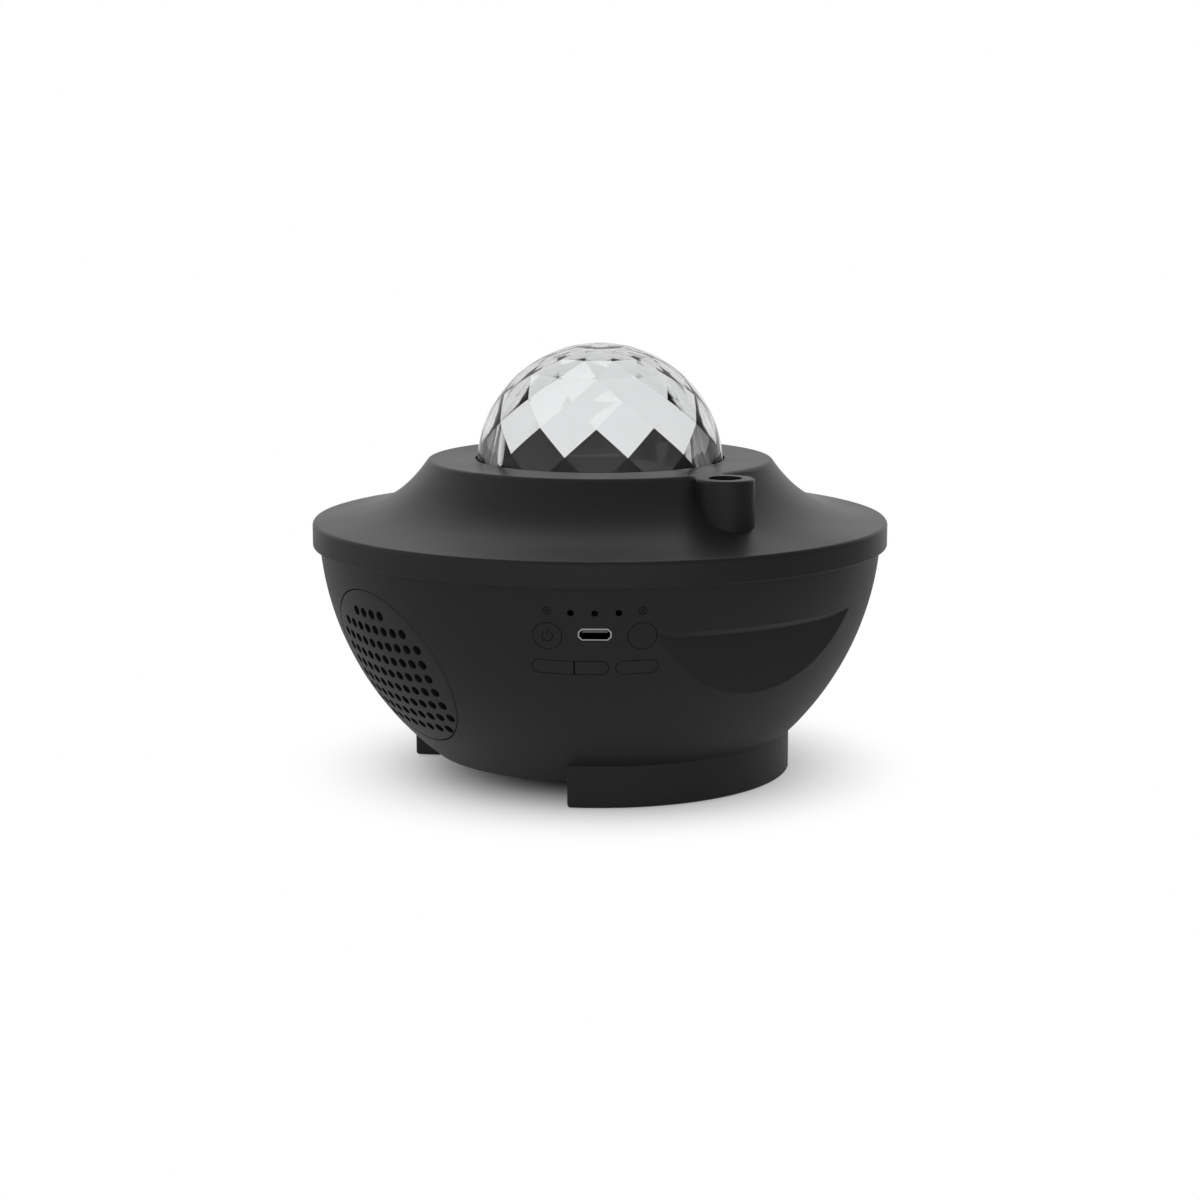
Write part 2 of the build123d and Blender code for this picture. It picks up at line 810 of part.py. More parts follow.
def gear_outline(teeth, first_tooth):
    # Involute teeth, the first one centred on the direction first_tooth in degrees from +X
    pitch = gear_module * teeth / 2
    base = pitch * cos(radians(pressure_angle))
    tip = pitch + addendum * gear_module
    root = pitch - dedendum * gear_module
    start = max(base, root)
    half = pi / (2 * teeth) - tooth_thinning / pitch + involute(radians(pressure_angle))
    points = []
    for tooth in range(teeth):
        centre = radians(first_tooth) + 2 * pi * tooth / teeth
        rising = []
        for step in range(flank_points):
            radius = start + (tip - start) * step / (flank_points - 1)
            offset = half - involute(acos_safe(base / radius))
            rising.append((radius, offset))
        root_offset = rising[0][1]
        corners = [(root, -root_offset)] if root < start else []
        corners += [(radius, -offset) for radius, offset in rising]
        corners += [(radius, offset) for radius, offset in reversed(rising)]
        if root < start:
            corners.append((root, root_offset))
        points += [(r * cos(centre + a), r * sin(centre + a)) for r, a in corners]
    return make_face(Polyline(*points, close=True))


def acos_safe(value):
    # Angle whose cosine is value, for a value that rounding may lift just over 1
    return pi / 2 - asin(min(1.0, value))


def meshing_tooth(own_teeth, other_teeth, other_first, contact):
    # Direction of a tooth that fits the other gear, whose centre lies at the angle contact + 180
    other_pitch = 360 / other_teeth
    own_pitch = 360 / own_teeth
    lead = ((other_first - contact) % other_pitch) / other_pitch
    return contact + 180 + own_pitch / 2 - lead * own_pitch


def wave_gear():
    # Toothed ring that turns on the chassis tube and carries the wave disc
    bore = track_radius + track_fit
    outer = bore + ring_wall
    body = Pos(0, 0, gear_bottom) * extrude(gear_outline(wave_teeth, 90), gear_height)
    body += rod(outer, gear_bottom, track_top + ring_top + wave_thickness)
    body -= rod(bore, gear_bottom, track_top)
    body -= rod(track_radius - ring_lip, track_top, track_top + ring_top)
    return body - rod(track_radius, track_top + ring_top, track_top + ring_top + wave_thickness)


def wave_disc():
    # Clear disc with ring-shaped ripples on its underside
    low = track_top + ring_top
    body = rod(track_radius - screw_fit, low, low + wave_thickness)
    pitch = 2 * wave_thickness
    count = int((track_radius - ring_lip) / pitch)
    for ring in range(1, count):
        body -= tube(ring * pitch, ring * pitch - wave_thickness, low, low + wave_ripple)
    return body


def motor_pinion():
    angle = meshing_tooth(pinion_teeth, wave_teeth, 90, 90)
    body = Pos(0, 0, gear_bottom) * extrude(gear_outline(pinion_teeth, angle), gear_height)
    return Pos(0, motor_distance) * (body - rod(shaft_radius, gear_bottom, gear_top))


def motor_shaft():
    return Pos(0, motor_distance) * rod(shaft_radius, plate_bottom - shaft_depth, gear_top)


def grating_gear():
    angle = meshing_tooth(grating_teeth, wave_teeth, 90, -90)
    hub_low = plate_top + bearing_ledge_height + axial_play
    body = Pos(0, 0, gear_bottom) * extrude(gear_outline(grating_teeth, angle), gear_height)
    body += rod(grating_hub_radius, hub_low, gear_top)
    body -= rod(bearing_radius + track_fit, hub_low, gear_top - grating_web)
    return Pos(0, -laser_distance) * (body - rod(grating_window, gear_top - grating_web, gear_top))


def grating_film():
    return Pos(0, -laser_distance) * rod(film_radius, gear_top, gear_top + film_thickness)


# Chassis and what hangs on it

def hook():
    # Snap hook over the wave gear's teeth
    near = wave_tip_radius + hook_gap
    reach = wave_tip_radius - addendum * gear_module
    arm = Pos(0, -near, plate_top) * Box(
        hook_width, hook_thickness, gear_top + hook_gap + hook_thickness - plate_top,
        align=(Align.CENTER, Align.MAX, Align.MIN),
    )
    nose = Pos(0, -reach, gear_top + hook_gap) * Box(
        hook_width, near + hook_thickness - reach, hook_thickness,
        align=(Align.CENTER, Align.MAX, Align.MIN),
    )
    return arm + nose


def light_chassis():
    inner = track_radius - track_wall
    body = rod(plate_radius, plate_bottom, plate_top)
    body += Pos(0, -laser_distance) * rod(lobe_radius, plate_bottom, plate_top)
    body += Pos(0, motor_distance) * block(2 * (motor_ear_distance + motor_ear_radius), 2 * motor_ear_radius,
                                           plate_bottom, plate_top)
    ledge = gear_bottom - axial_play
    body += rod(track_radius + track_wall, plate_top, ledge)
    body += rod(track_radius, ledge, track_top - axial_play)
    body += turned_polygon(
        (0, can_bottom),
        (can_radius + can_wall, can_bottom),
        (inner + can_wall, plate_bottom),
        (0, plate_bottom),
    )
    body += rod(led_board_radius, can_bottom, can_bottom + can_wall)
    body -= turned_polygon(
        (0, can_bottom), (can_radius, can_bottom), (inner, plate_bottom), (0, plate_bottom)
    )
    body -= rod(inner, plate_bottom, track_top)
    for azimuth in hook_azimuths:
        body += Rot(0, 0, azimuth) * hook()
    laser = Pos(0, -laser_distance)
    body += laser * rod(bearing_ledge_radius, plate_top, plate_top + bearing_ledge_height)
    body += laser * rod(bearing_radius, plate_top, gear_top - grating_web - axial_play)
    body -= laser * rod(bearing_bore, plate_bottom, gear_top)
    body -= Pos(0, motor_distance) * rod(shaft_radius + 1, plate_bottom, plate_top)
    for azimuth in column_azimuths:
        body -= spot(column_distance, azimuth) * rod(screw_radius + screw_fit, plate_bottom, plate_top)
    for x in (-motor_ear_distance, motor_ear_distance):
        body -= Pos(x, motor_distance) * small_pilot(plate_bottom, plate_top)
    for x in (-holder_screw_offset, holder_screw_offset):
        body -= Pos(x, -laser_distance) * small_pilot(plate_bottom, plate_top)
    for azimuth in led_screw_azimuths:
        body -= spot(led_screw_distance, azimuth) * small_pilot(can_bottom, can_bottom + can_wall)
    return body


def motor_gearbox():
    low = plate_bottom - gearbox_height
    body = rod(gearbox_radius, low, plate_bottom)
    ears = pill_bar(motor_ear_distance, motor_ear_radius, plate_bottom - ear_thickness, plate_bottom)
    body += ears
    body -= rod(shaft_radius + shaft_fit, plate_bottom - shaft_depth - axial_play, plate_bottom)
    for x in (-motor_ear_distance, motor_ear_distance):
        body -= Pos(x, 0) * small_pilot(low, plate_bottom)
    return Pos(0, motor_distance) * body


def pill_bar(distance, radius, low, high):
    bar = Rectangle(2 * distance, 2 * radius)
    for x in (-distance, distance):
        bar += Pos(x, 0) * Circle(radius)
    return Pos(0, 0, low) * extrude(bar, high - low)


def drive_motor():
    top = plate_bottom - gearbox_height
    body = rod(motor_radius, top - motor_length, top)
    body = fillet(body.edges().sort_by(Axis.Z)[0], motor_corner)
    boss = rod(motor_boss_radius, top - motor_length - motor_boss, top - motor_length + motor_corner)
    return Pos(0, motor_distance) * (body + boss)


def laser_holder():
    low = plate_bottom - holder_height
    body = block(holder_width, holder_depth, low, plate_bottom)
    body = fillet(body.edges().filter_by(Axis.Z), 2.0)
    body -= rod(laser_radius + screw_fit, low, plate_bottom)
    for x in (-holder_screw_offset, holder_screw_offset):
        body -= Pos(x, 0) * rod(small_head_radius + head_room, low, plate_bottom - holder_lug)
        body -= Pos(x, 0) * small_pilot(low, plate_bottom)
    return Pos(0, -laser_distance) * body


def chassis_screws():
    # They hold the motor and the laser under the chassis plate
    ear_seat = plate_bottom - ear_thickness
    holder_seat = plate_bottom - holder_lug
    places = [Pos(x, motor_distance, ear_seat) for x in (-motor_ear_distance, motor_ear_distance)]
    places += [Pos(x, -laser_distance, holder_seat) for x in (-holder_screw_offset, holder_screw_offset)]
    return group(place * small_screw(ear_thickness + plate_thickness) for place in places)


def laser_module():
    top = plate_top - laser_gap
    body = rod(laser_radius, top - laser_length, top)
    body = fillet(body.edges().sort_by(Axis.Z)[-1], 0.4)
    return Pos(0, -laser_distance) * (body - rod(laser_radius / 3, top - 1, top))


def led_board():
    body = rod(led_board_radius, can_bottom - led_board_thickness, can_bottom)
    for azimuth in led_screw_azimuths:
        body -= spot(led_screw_distance, azimuth) * small_pilot(can_bottom - led_board_thickness, can_bottom)
    return body


def led_chips():
    half = led_spacing / 2
    chip = block(led_size, led_size, can_bottom, can_bottom + led_height)
    return group(Pos(x, y) * chip for x in (-half, half) for y in (-half, half))


def dished(radius, rise, base):
    # Spherical segment: a crown of this rise over a flat circle
    ball = (radius**2 + rise**2) / (2 * rise)
    return Pos(0, 0, base + rise - ball) * Sphere(ball) & rod(radius, base, base + rise)


def led_lens():
    # Clear bead over the light-emitting chips
    base = can_bottom + lens_cavity_height
    crown = base + lens_edge
    rim = tube(lens_radius, lens_cavity_radius, can_bottom, crown)
    return rim + rod(lens_radius, base, crown) + dished(lens_radius, can_bottom + lens_height - crown, crown)


def heat_sink():
    top = can_bottom - led_board_thickness
    low = top - sink_base
    body = rod(led_board_radius, low, top)
    for index in range(fin_count):
        y = (index - (fin_count - 1) / 2) * fin_pitch
        fin = Pos(0, y) * block(2 * led_board_radius, fin_thickness, low - fin_height, low)
        body += fin & rod(led_board_radius, low - fin_height, low)
    for azimuth in led_screw_azimuths:
        body -= spot(led_screw_distance, azimuth) * rod(small_head_radius + head_room, low - fin_height, low)
        body -= spot(led_screw_distance, azimuth) * small_pilot(low, top)
    return body


def led_screws():
    seat = can_bottom - led_board_thickness - sink_base
    length = led_board_thickness + sink_base + can_wall
    return group(spot(led_screw_distance, a, seat) * small_screw(length) for a in led_screw_azimuths)


# Loudspeaker

def grille_holes():
    rows = len(grille_row_counts)
    holes = []
    for row, count in enumerate(grille_row_counts):
        y = ((rows - 1) / 2 - row) * grille_row_pitch
        for index in range(count):
            x = (index - (count - 1) / 2) * grille_pitch
            holes.append(Pos(x, y) * Circle(grille_hole_radius))
    return holes


def speaker_grille():
    # Perforated cap that follows the bowl, with a rim and a flange behind the wall
    throat = grille_radius - grille_rim
    reach = rod(grille_radius, -grille_seat, grille_seat)
    outside = bowl_solid(0, bowl_floor, rim_inner_height)
    inside = bowl_solid(grille_plate, bowl_floor, rim_inner_height)
    cap = outside & (speaker * reach)
    keep = speaker * tube(grille_radius + grille_rim, throat, -grille_seat, grille_seat)
    body = (cap - inside) + (cap & keep)
    flange = tube(grille_radius + grille_flange, throat, -gasket_front, -grille_seat)
    body += speaker * flange
    drills = extrude(Sketch() + grille_holes(), 2 * grille_seat)
    return body - speaker * (Pos(0, 0, -grille_seat + grille_flange_thickness / 2) * drills)


def grille_cloth():
    radius = grille_radius - grille_rim - screw_fit
    return speaker * rod(radius, -gasket_front, -gasket_front + cloth_thickness)


def speaker_gasket():
    ring = tube(grille_radius + grille_flange, grille_radius - grille_rim, -basket_front, -gasket_front)
    return speaker * ring


def speaker_frame():
    # Pressed basket: flange with four ears, open cone, back plate
    front = -basket_front
    back = -basket_end
    outer = grille_radius + grille_flange
    plate_bore = coil_radius + coil_wall + coil_gap
    body = turned_polygon(
        (basket_throat, front),
        (outer, front),
        (outer, front - basket_flange),
        (basket_throat + basket_wall, front - basket_flange),
        (magnet_radius + basket_wall, back),
        (plate_bore, back),
        (plate_bore, back + basket_wall),
        (magnet_radius, back + basket_wall),
        (basket_throat, front - basket_flange),
    )
    ear = pill_ear(
        outer - basket_flange, speaker_post_distance, speaker_post_radius, front - basket_flange, front
    )
    for angle in speaker_post_angles:
        body += Rot(0, 0, angle) * ear
    tab = Box(tab_width, tab_length, basket_wall, align=(Align.CENTER, Align.MAX, Align.MIN))
    return speaker * (body + Pos(0, -magnet_radius, back) * tab)


def pill_ear(start, end, radius, low, high):
    # Tab from a rim out to a rounded end with a screw hole
    plan = Pos((start + end) / 2, 0) * Rectangle(end - start, 2 * radius) + Pos(end, 0) * Circle(radius)
    plan -= Pos(end, 0) * Circle(small_screw_radius + screw_fit)
    return Pos(0, 0, low) * extrude(plan, high - low)


def speaker_screws():
    fastener = Pos(0, 0, -basket_front - basket_flange) * small_screw(small_bite - thread_end)
    return group(speaker_post(angle) * fastener for angle in speaker_post_angles)


def speaker_magnet():
    top = -basket_end
    outer_gap = coil_radius + coil_wall + coil_gap
    inner_gap = coil_radius - coil_gap
    body = rod(magnet_radius, top - magnet_length, top)
    return speaker * (body - tube(outer_gap, inner_gap, top - coil_length, top))


def cone_height():
    # Depth at which the cone's narrow end sits
    return basket_front + basket_flange + cone_depth


def speaker_cone():
    wide = -basket_front - basket_flange / 2
    narrow = -cone_height()
    neck = coil_radius + coil_wall
    body = turned_polygon(
        (cone_edge_radius, wide),
        (neck, narrow),
        (neck, narrow - cone_neck),
        (neck + surround_skin, narrow - cone_neck),
        (cone_edge_radius, wide - cone_skin),
    )
    return speaker * body


def dust_cap():
    neck = coil_radius + coil_wall
    base = -cone_height()
    shell = dished(neck, cap_rise, base) - dished(neck - cone_skin, cap_rise - cone_skin, base)
    return speaker * (shell + rod(neck, base - cone_neck, base))


def voice_coil():
    top = -cone_height() - cone_neck
    return speaker * tube(coil_radius + coil_wall, coil_radius, top - coil_length, top)


def speaker_surround():
    # Half-round rubber roll between the cone and the basket
    level = -basket_front - basket_flange / 2
    middle = (cone_edge_radius + basket_throat) / 2
    skin = surround_skin
    under = level - skin
    crest = level + surround_roll
    upper = ThreePointArc((cone_edge_radius, level), (middle, crest), (basket_throat, level))
    lower = ThreePointArc((cone_edge_radius, under), (middle, crest - skin), (basket_throat, under))
    inner = Polyline((cone_edge_radius, level), (cone_edge_radius, under))
    outer = Polyline((basket_throat, level), (basket_throat, under))
    return speaker * turned(upper, outer, lower, inner)


# Control panel

def button(outline, flange_outline, centre):
    # Cap that follows the bowl's surface, a flange behind the wall and a stem
    cap = bowl_solid(0, bowl_floor, rim_inner_height) & panel_prism(outline, -pad_depth - button_rest_gap, 3)
    back = -pad_depth - button_rest_gap
    flange = panel_prism(flange_outline, back - button_flange_thickness, back)
    low = back - button_flange_thickness
    stem = panel * Pos(centre[0], centre[1], 0) * rod(button_stem_radius, low - button_stem, low)
    return cap + flange + stem


def round_button(u):
    cap = round_outline(u, round_button_radius - button_fit)
    flange = round_outline(u, round_button_radius + button_flange)
    return button(cap, flange, (u, round_button_v))


def pill_button(start, end, round_start, round_end):
    # A round end stands clear of the hole, a straight end of the next button
    gap = button_fit
    cap = pill_outline(start + gap, end - gap, pill_height - 2 * gap, round_start, round_end)
    left = start - button_flange if round_start else start + gap
    right = end + button_flange if round_end else end - gap
    flange = pill_outline(left, right, pill_height + 2 * button_flange, round_start, round_end)
    return button(cap, flange, ((start + end) / 2, pill_v))


def usb_shell():
    return panel_prism(port_outline(0) - port_bore(port_wall), -panel_board_depth, -port_recess)


def port_bore(inset):
    # Inside of the port's shell, inset from its outside
    shape = Rectangle(port_width - 2 * inset, port_height - 2 * inset)
    return Pos(0, port_v) * chamfer(shape.vertices(), port_corner - port_wall / 2)


def usb_tongue():
    back = port_bore(port_wall + port_fit)
    body = panel_prism(back, -panel_board_depth, -panel_board_depth + plug_block)
    blade = Pos(0, port_v + tongue_lift) * Rectangle(tongue_width, tongue_height)
    return body + panel_prism(blade, -panel_board_depth, -tongue_recess)


def panel_board():
    width = 2 * panel_board_half_width
    plan = Pos(0, (panel_board_low + panel_board_high) / 2) * RectangleRounded(
        width, panel_board_high - panel_board_low, board_corner / 2
    )
    for u, v in panel_posts:
        plan -= Pos(u, v) * Circle(small_screw_radius + screw_fit)
    return panel_prism(plan, -panel_board_depth - panel_board_thickness, -panel_board_depth)


def panel_screws():
    seat = -panel_board_depth - panel_board_thickness
    return group(panel * Pos(u, v, seat) * small_screw(small_bite) for u, v in panel_posts)


def button_centres():
    return [
        (-round_button_u, round_button_v),
        (round_button_u, round_button_v),
        ((pill_left_end + pill_divider) / 2, pill_v),
        ((pill_divider + pill_middle_end) / 2, pill_v),
        ((pill_right_start + pill_right_end) / 2, pill_v),
    ]


def keypad_mat():
    # Silicone sheet on the board with a dome under each button's stem
    plan = Pos(0, (mat_low + mat_high) / 2) * RectangleRounded(
        2 * panel_board_half_width - 1, mat_high - mat_low, board_corner / 2
    )
    plan -= Pos(0, port_v) * Rectangle(port_width + 1.5, port_height + 1.5)
    body = panel_prism(plan, -panel_board_depth, -panel_board_depth + mat_thickness)
    stem_end = -pad_depth - button_rest_gap - button_flange_thickness - button_stem
    height = stem_end - (-panel_board_depth + mat_thickness) - button_rest_gap
    for u, v in button_centres():
        base = -panel_board_depth + mat_thickness
        dome = Pos(u, v, base) * Cone(mat_dome_radius, button_stem_radius, height, align=upright)
        body += panel * dome
    return body


def panel_part(u, shape):
    return panel * Pos(u, pilot_v, -panel_board_depth) * shape


def status_lamp():
    shoulder = panel_board_gap - lamp_gap - lamp_radius
    tip = Sphere(lamp_radius) & rod(lamp_radius, 0, lamp_radius)
    return panel_part(-pilot_pitch, rod(lamp_radius, 0, shoulder) + Pos(0, 0, shoulder) * tip)


def microphone():
    height = panel_board_gap - lamp_gap
    port = rod(microphone_port, height - microphone_lip, height)
    return panel_part(0, rod(microphone_radius, 0, height) - port)


def remote_receiver():
    height = panel_board_gap - lamp_gap
    size = 2 * lamp_radius
    return panel_part(pilot_pitch, block(size, size, 0, height))


# Main board

def main_board():
    plan = RectangleRounded(board_width, board_depth, board_corner)
    for x, y in board_posts():
        plan -= Pos(x, y) * Circle(small_screw_radius + screw_fit)
    return Pos(0, 0, board_bottom) * extrude(plan, board_thickness)


def board_screws():
    # Driven from above, heads on the board
    return group(Pos(x, y, board_top) * Rot(180, 0, 0) * small_screw(small_bite) for x, y in board_posts())


def on_board(x, y, width, depth, height):
    return Pos(x, y) * block(width, depth, board_top, board_top + height)


def radio_module():
    return on_board(*radio_board) + on_board(*radio_can)


def control_chips():
    return group(on_board(*chip) for chip in chips)


def capacitors():
    can = rod(capacitor_radius, board_top, board_top + capacitor_height)
    return group(Pos(x, y) * can for x, y in capacitor_places)


def wire_sockets():
    width, depth, height = socket_size
    places = [speaker_socket, motor_socket, light_socket, laser_socket, panel_socket]
    return group(on_board(x, y, width, depth, height) for x, y in places)


# Internal leads, each a pair of wires in one sleeve

def lead(*points):
    corners = [Vector(*point) for point in points]
    radii = []
    for before, corner, after in zip(corners, corners[1:], corners[2:]):
        turn = (corner - before).get_angle(after - corner)
        shorter = min((corner - before).length, (after - corner).length)
        radii.append(lead_slack * shorter / tan(radians(turn) / 2))
    path = FilletPolyline(*corners, radius=radii)
    return sweep(Plane(origin=path @ 0, z_dir=path % 0) * Circle(lead_radius), path=path)


def from_socket(place, rise):
    # The first run of a lead, straight up out of its socket
    x, y = place
    top = board_top + socket_size[2]
    return (x, y, top), (x, y, top + rise)


def local_point(frame, x, y, z):
    return (frame * Pos(x, y, z)).position


def speaker_lead():
    tab = -magnet_radius - tab_length / 2
    stand_off = local_point(speaker, 0, tab, -basket_end - speaker_lead_reach)
    end = local_point(speaker, 0, tab, -basket_end)
    return lead(*from_socket(speaker_socket, speaker_lead_rise), stand_off, end)


def light_lead():
    x = light_socket[0]
    outside = led_board_radius + light_lead_gap
    level = can_bottom - led_board_thickness / 2
    start = from_socket(light_socket, light_lead_rise)
    return lead(*start, (x, -outside, light_lead_height), (x, -outside, level), (x, -led_board_radius, level))


def motor_lead():
    low = plate_bottom - gearbox_height - motor_length
    x = motor_radius * 0.6
    start = from_socket(motor_socket, motor_lead_rise)
    return lead(*start, (x, motor_distance, low - motor_lead_reach), (x, motor_distance, low))


def laser_lead():
    low = plate_top - laser_gap - laser_length
    start = from_socket(laser_socket, laser_lead_rise)
    return lead(*start, (0, -laser_distance, low - laser_lead_reach), (0, -laser_distance, low))


def panel_lead():
    back = -panel_board_depth - panel_board_thickness
    stand_off = local_point(panel, *panel_lead_place, back - panel_lead_reach)
    end = local_point(panel, *panel_lead_place, back)
    return lead(*from_socket(panel_socket, panel_lead_rise), stand_off, end)


nodes = {
    "bowl_housing": bowl_housing,
    "top_cover": top_cover,
    "foot_pads": lambda: group(pad_solids()),
    "case_screws": case_screws,
    "laser_window": laser_window,
    "dome_lens": dome_lens,
    "dome_retainer": dome_retainer,
    "retainer_screws": retainer_screw_set,
    "light_chassis": light_chassis,
    "wave_gear": wave_gear,
    "wave_disc": wave_disc,
    "motor_gearbox": motor_gearbox,
    "drive_motor": drive_motor,
    "motor_shaft": motor_shaft,
    "motor_pinion": motor_pinion,
    "grating_gear": grating_gear,
    "grating_film": grating_film,
    "laser_module": laser_module,
    "laser_holder": laser_holder,
    "chassis_screws": chassis_screws,
    "led_board": led_board,
    "led_chips": led_chips,
    "led_lens": led_lens,
    "heat_sink": heat_sink,
    "led_screws": led_screws,
    "speaker_grille": speaker_grille,
    "grille_cloth": grille_cloth,
    "speaker_gasket": speaker_gasket,
    "speaker_frame": speaker_frame,
    "speaker_screws": speaker_screws,
    "speaker_magnet": speaker_magnet,
    "speaker_surround": speaker_surround,
    "speaker_cone": speaker_cone,
    "dust_cap": dust_cap,
    "voice_coil": voice_coil,
    "power_button": lambda: round_button(-round_button_u),
    "light_button": lambda: round_button(round_button_u),
    "volume_down_button": lambda: pill_button(pill_left_end, pill_divider, True, False),
    "play_button": lambda: pill_button(pill_divider, pill_middle_end, False, True),
    "volume_up_button": lambda: pill_button(pill_right_start, pill_right_end, True, True),
    "usb_shell": usb_shell,
    "usb_tongue": usb_tongue,
    "panel_board": panel_board,
    "panel_screws": panel_screws,
    "keypad_mat": keypad_mat,
    "status_lamp": status_lamp,
    "microphone": microphone,
    "remote_receiver": remote_receiver,
    "main_board": main_board,
    "board_screws": board_screws,
    "radio_module": radio_module,
    "control_chips": control_chips,
    "capacitors": capacitors,
    "wire_sockets": wire_sockets,
    "speaker_lead": speaker_lead,
    "light_lead": light_lead,
    "motor_lead": motor_lead,
    "laser_lead": laser_lead,
    "panel_lead": panel_lead,
}

for node, make in nodes.items():
    save(node, make())
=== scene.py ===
# Night light projector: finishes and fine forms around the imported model. Metres, +Z up.
from math import asin, atan2, cos, pi, radians, sin, sqrt, tau

import bmesh
import bpy
from mathutils import Matrix, Vector


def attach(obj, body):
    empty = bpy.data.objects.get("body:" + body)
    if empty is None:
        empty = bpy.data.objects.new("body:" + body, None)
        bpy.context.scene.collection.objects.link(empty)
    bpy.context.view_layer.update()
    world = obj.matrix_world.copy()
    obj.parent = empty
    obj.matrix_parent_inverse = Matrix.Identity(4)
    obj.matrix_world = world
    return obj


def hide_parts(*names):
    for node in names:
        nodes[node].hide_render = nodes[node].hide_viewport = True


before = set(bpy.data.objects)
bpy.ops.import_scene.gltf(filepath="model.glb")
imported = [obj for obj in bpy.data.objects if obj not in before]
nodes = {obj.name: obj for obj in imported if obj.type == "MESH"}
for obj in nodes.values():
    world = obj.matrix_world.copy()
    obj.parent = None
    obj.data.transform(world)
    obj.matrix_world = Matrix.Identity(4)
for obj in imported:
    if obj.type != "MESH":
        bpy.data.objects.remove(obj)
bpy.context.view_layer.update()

mm = 0.001
print("frame loaded:", len(nodes), "nodes")


# Materials

def newFinish(name, color, roughness, **sockets):
    # Values that are the same all over go straight on the shader's own sockets
    material = bpy.data.materials.new(name)
    material.use_nodes = True
    shader = material.node_tree.nodes["Principled BSDF"]
    shader.inputs["Base Color"].default_value = (*color, 1)
    shader.inputs["Roughness"].default_value = roughness
    for label, value in sockets.items():
        shader.inputs[label.replace("_", " ")].default_value = value
    return material


def addNode(tree, kind, links=(), **values):
    # A shader or geometry node with its sockets set by name and its inputs linked
    made = tree.nodes.new(kind)
    for label, value in values.items():
        if hasattr(made, label):
            setattr(made, label, value)
        else:
            made.inputs[label.replace("_", " ")].default_value = value
    for label, source in links:
        tree.links.new(source, made.inputs[label])
    return made


def feed(tree, socket, term):
    # A number goes on the socket itself, anything else is linked to it
    if isinstance(term, (int, float)):
        socket.default_value = term
    else:
        tree.links.new(term, socket)


def calc(tree, operation, *terms):
    made = addNode(tree, "ShaderNodeMath", operation=operation)
    for socket, term in zip(made.inputs, terms):
        feed(tree, socket, term)
    return made.outputs[0]


def placeOf(tree, stretch=(1, 1, 1)):
    where = addNode(tree, "ShaderNodeTexCoord")
    mapped = addNode(tree, "ShaderNodeMapping", [("Vector", where.outputs["Object"])], Scale=stretch)
    return mapped.outputs["Vector"]


def addBump(material, height, depth):
    tree = material.node_tree
    bump = addNode(tree, "ShaderNodeBump", [("Height", height)], Distance=depth, Strength=1.0)
    tree.links.new(bump.outputs["Normal"], tree.nodes["Principled BSDF"].inputs["Normal"])


def addSpread(material, source, socket, low, high):
    # The shader's socket runs from low to high as the pattern runs from 0.3 to 0.7
    tree = material.node_tree
    spread = addNode(tree, "ShaderNodeMapRange", [("Value", source)], From_Min=0.3, From_Max=0.7)
    spread.inputs["To Min"].default_value = low
    spread.inputs["To Max"].default_value = high
    tree.links.new(spread.outputs["Result"], tree.nodes["Principled BSDF"].inputs[socket])


def addTint(material, source, dark, light):
    # Inputs 6 and 7 of this node are its two colours
    tree = material.node_tree
    tint = addNode(tree, "ShaderNodeMix", [("Factor", source)], data_type="RGBA")
    tint.inputs[6].default_value = (*dark, 1)
    tint.inputs[7].default_value = (*light, 1)
    tree.links.new(tint.outputs[2], tree.nodes["Principled BSDF"].inputs["Base Color"])


def mouldedPlastic(name, dark, light, roughness, grain, depth, **sockets):
    # Spark-eroded moulding: a fine grain, broad soft patches of gloss and a faint change of tone
    material = newFinish(name, dark, roughness[0], **sockets)
    tree = material.node_tree
    place = placeOf(tree)
    fine = addNode(tree, "ShaderNodeTexNoise", [("Vector", place)], Scale=grain, Detail=3.0, Roughness=0.6)
    broad = addNode(tree, "ShaderNodeTexNoise", [("Vector", place)], Scale=22.0, Detail=2.0)
    addBump(material, fine.outputs["Fac"], depth)
    addSpread(material, broad.outputs["Fac"], "Roughness", *roughness)
    addTint(material, broad.outputs["Fac"], dark, light)
    return material


def brushedMetal(name, color, roughness, stretch, scale, depth, **sockets):
    # Drawn or ground metal: long fine scratches along the stretched axis
    material = newFinish(name, color, roughness[0], Metallic=1.0, **sockets)
    tree = material.node_tree
    place = placeOf(tree, stretch)
    scratch = addNode(tree, "ShaderNodeTexNoise", [("Vector", place)], Scale=scale, Detail=4.0)
    addBump(material, scratch.outputs["Fac"], depth)
    addSpread(material, scratch.outputs["Fac"], "Roughness", *roughness)
    return material


def clearPlastic(name, color, roughness, ior, scale, depth):
    # Polished moulding with the slightest flow marks
    material = newFinish(name, color, roughness, IOR=ior, Transmission_Weight=1.0)
    tree = material.node_tree
    flow = addNode(tree, "ShaderNodeTexNoise", [("Vector", placeOf(tree))], Scale=scale, Detail=1.0)
    addBump(material, flow.outputs["Fac"], depth)
    return material


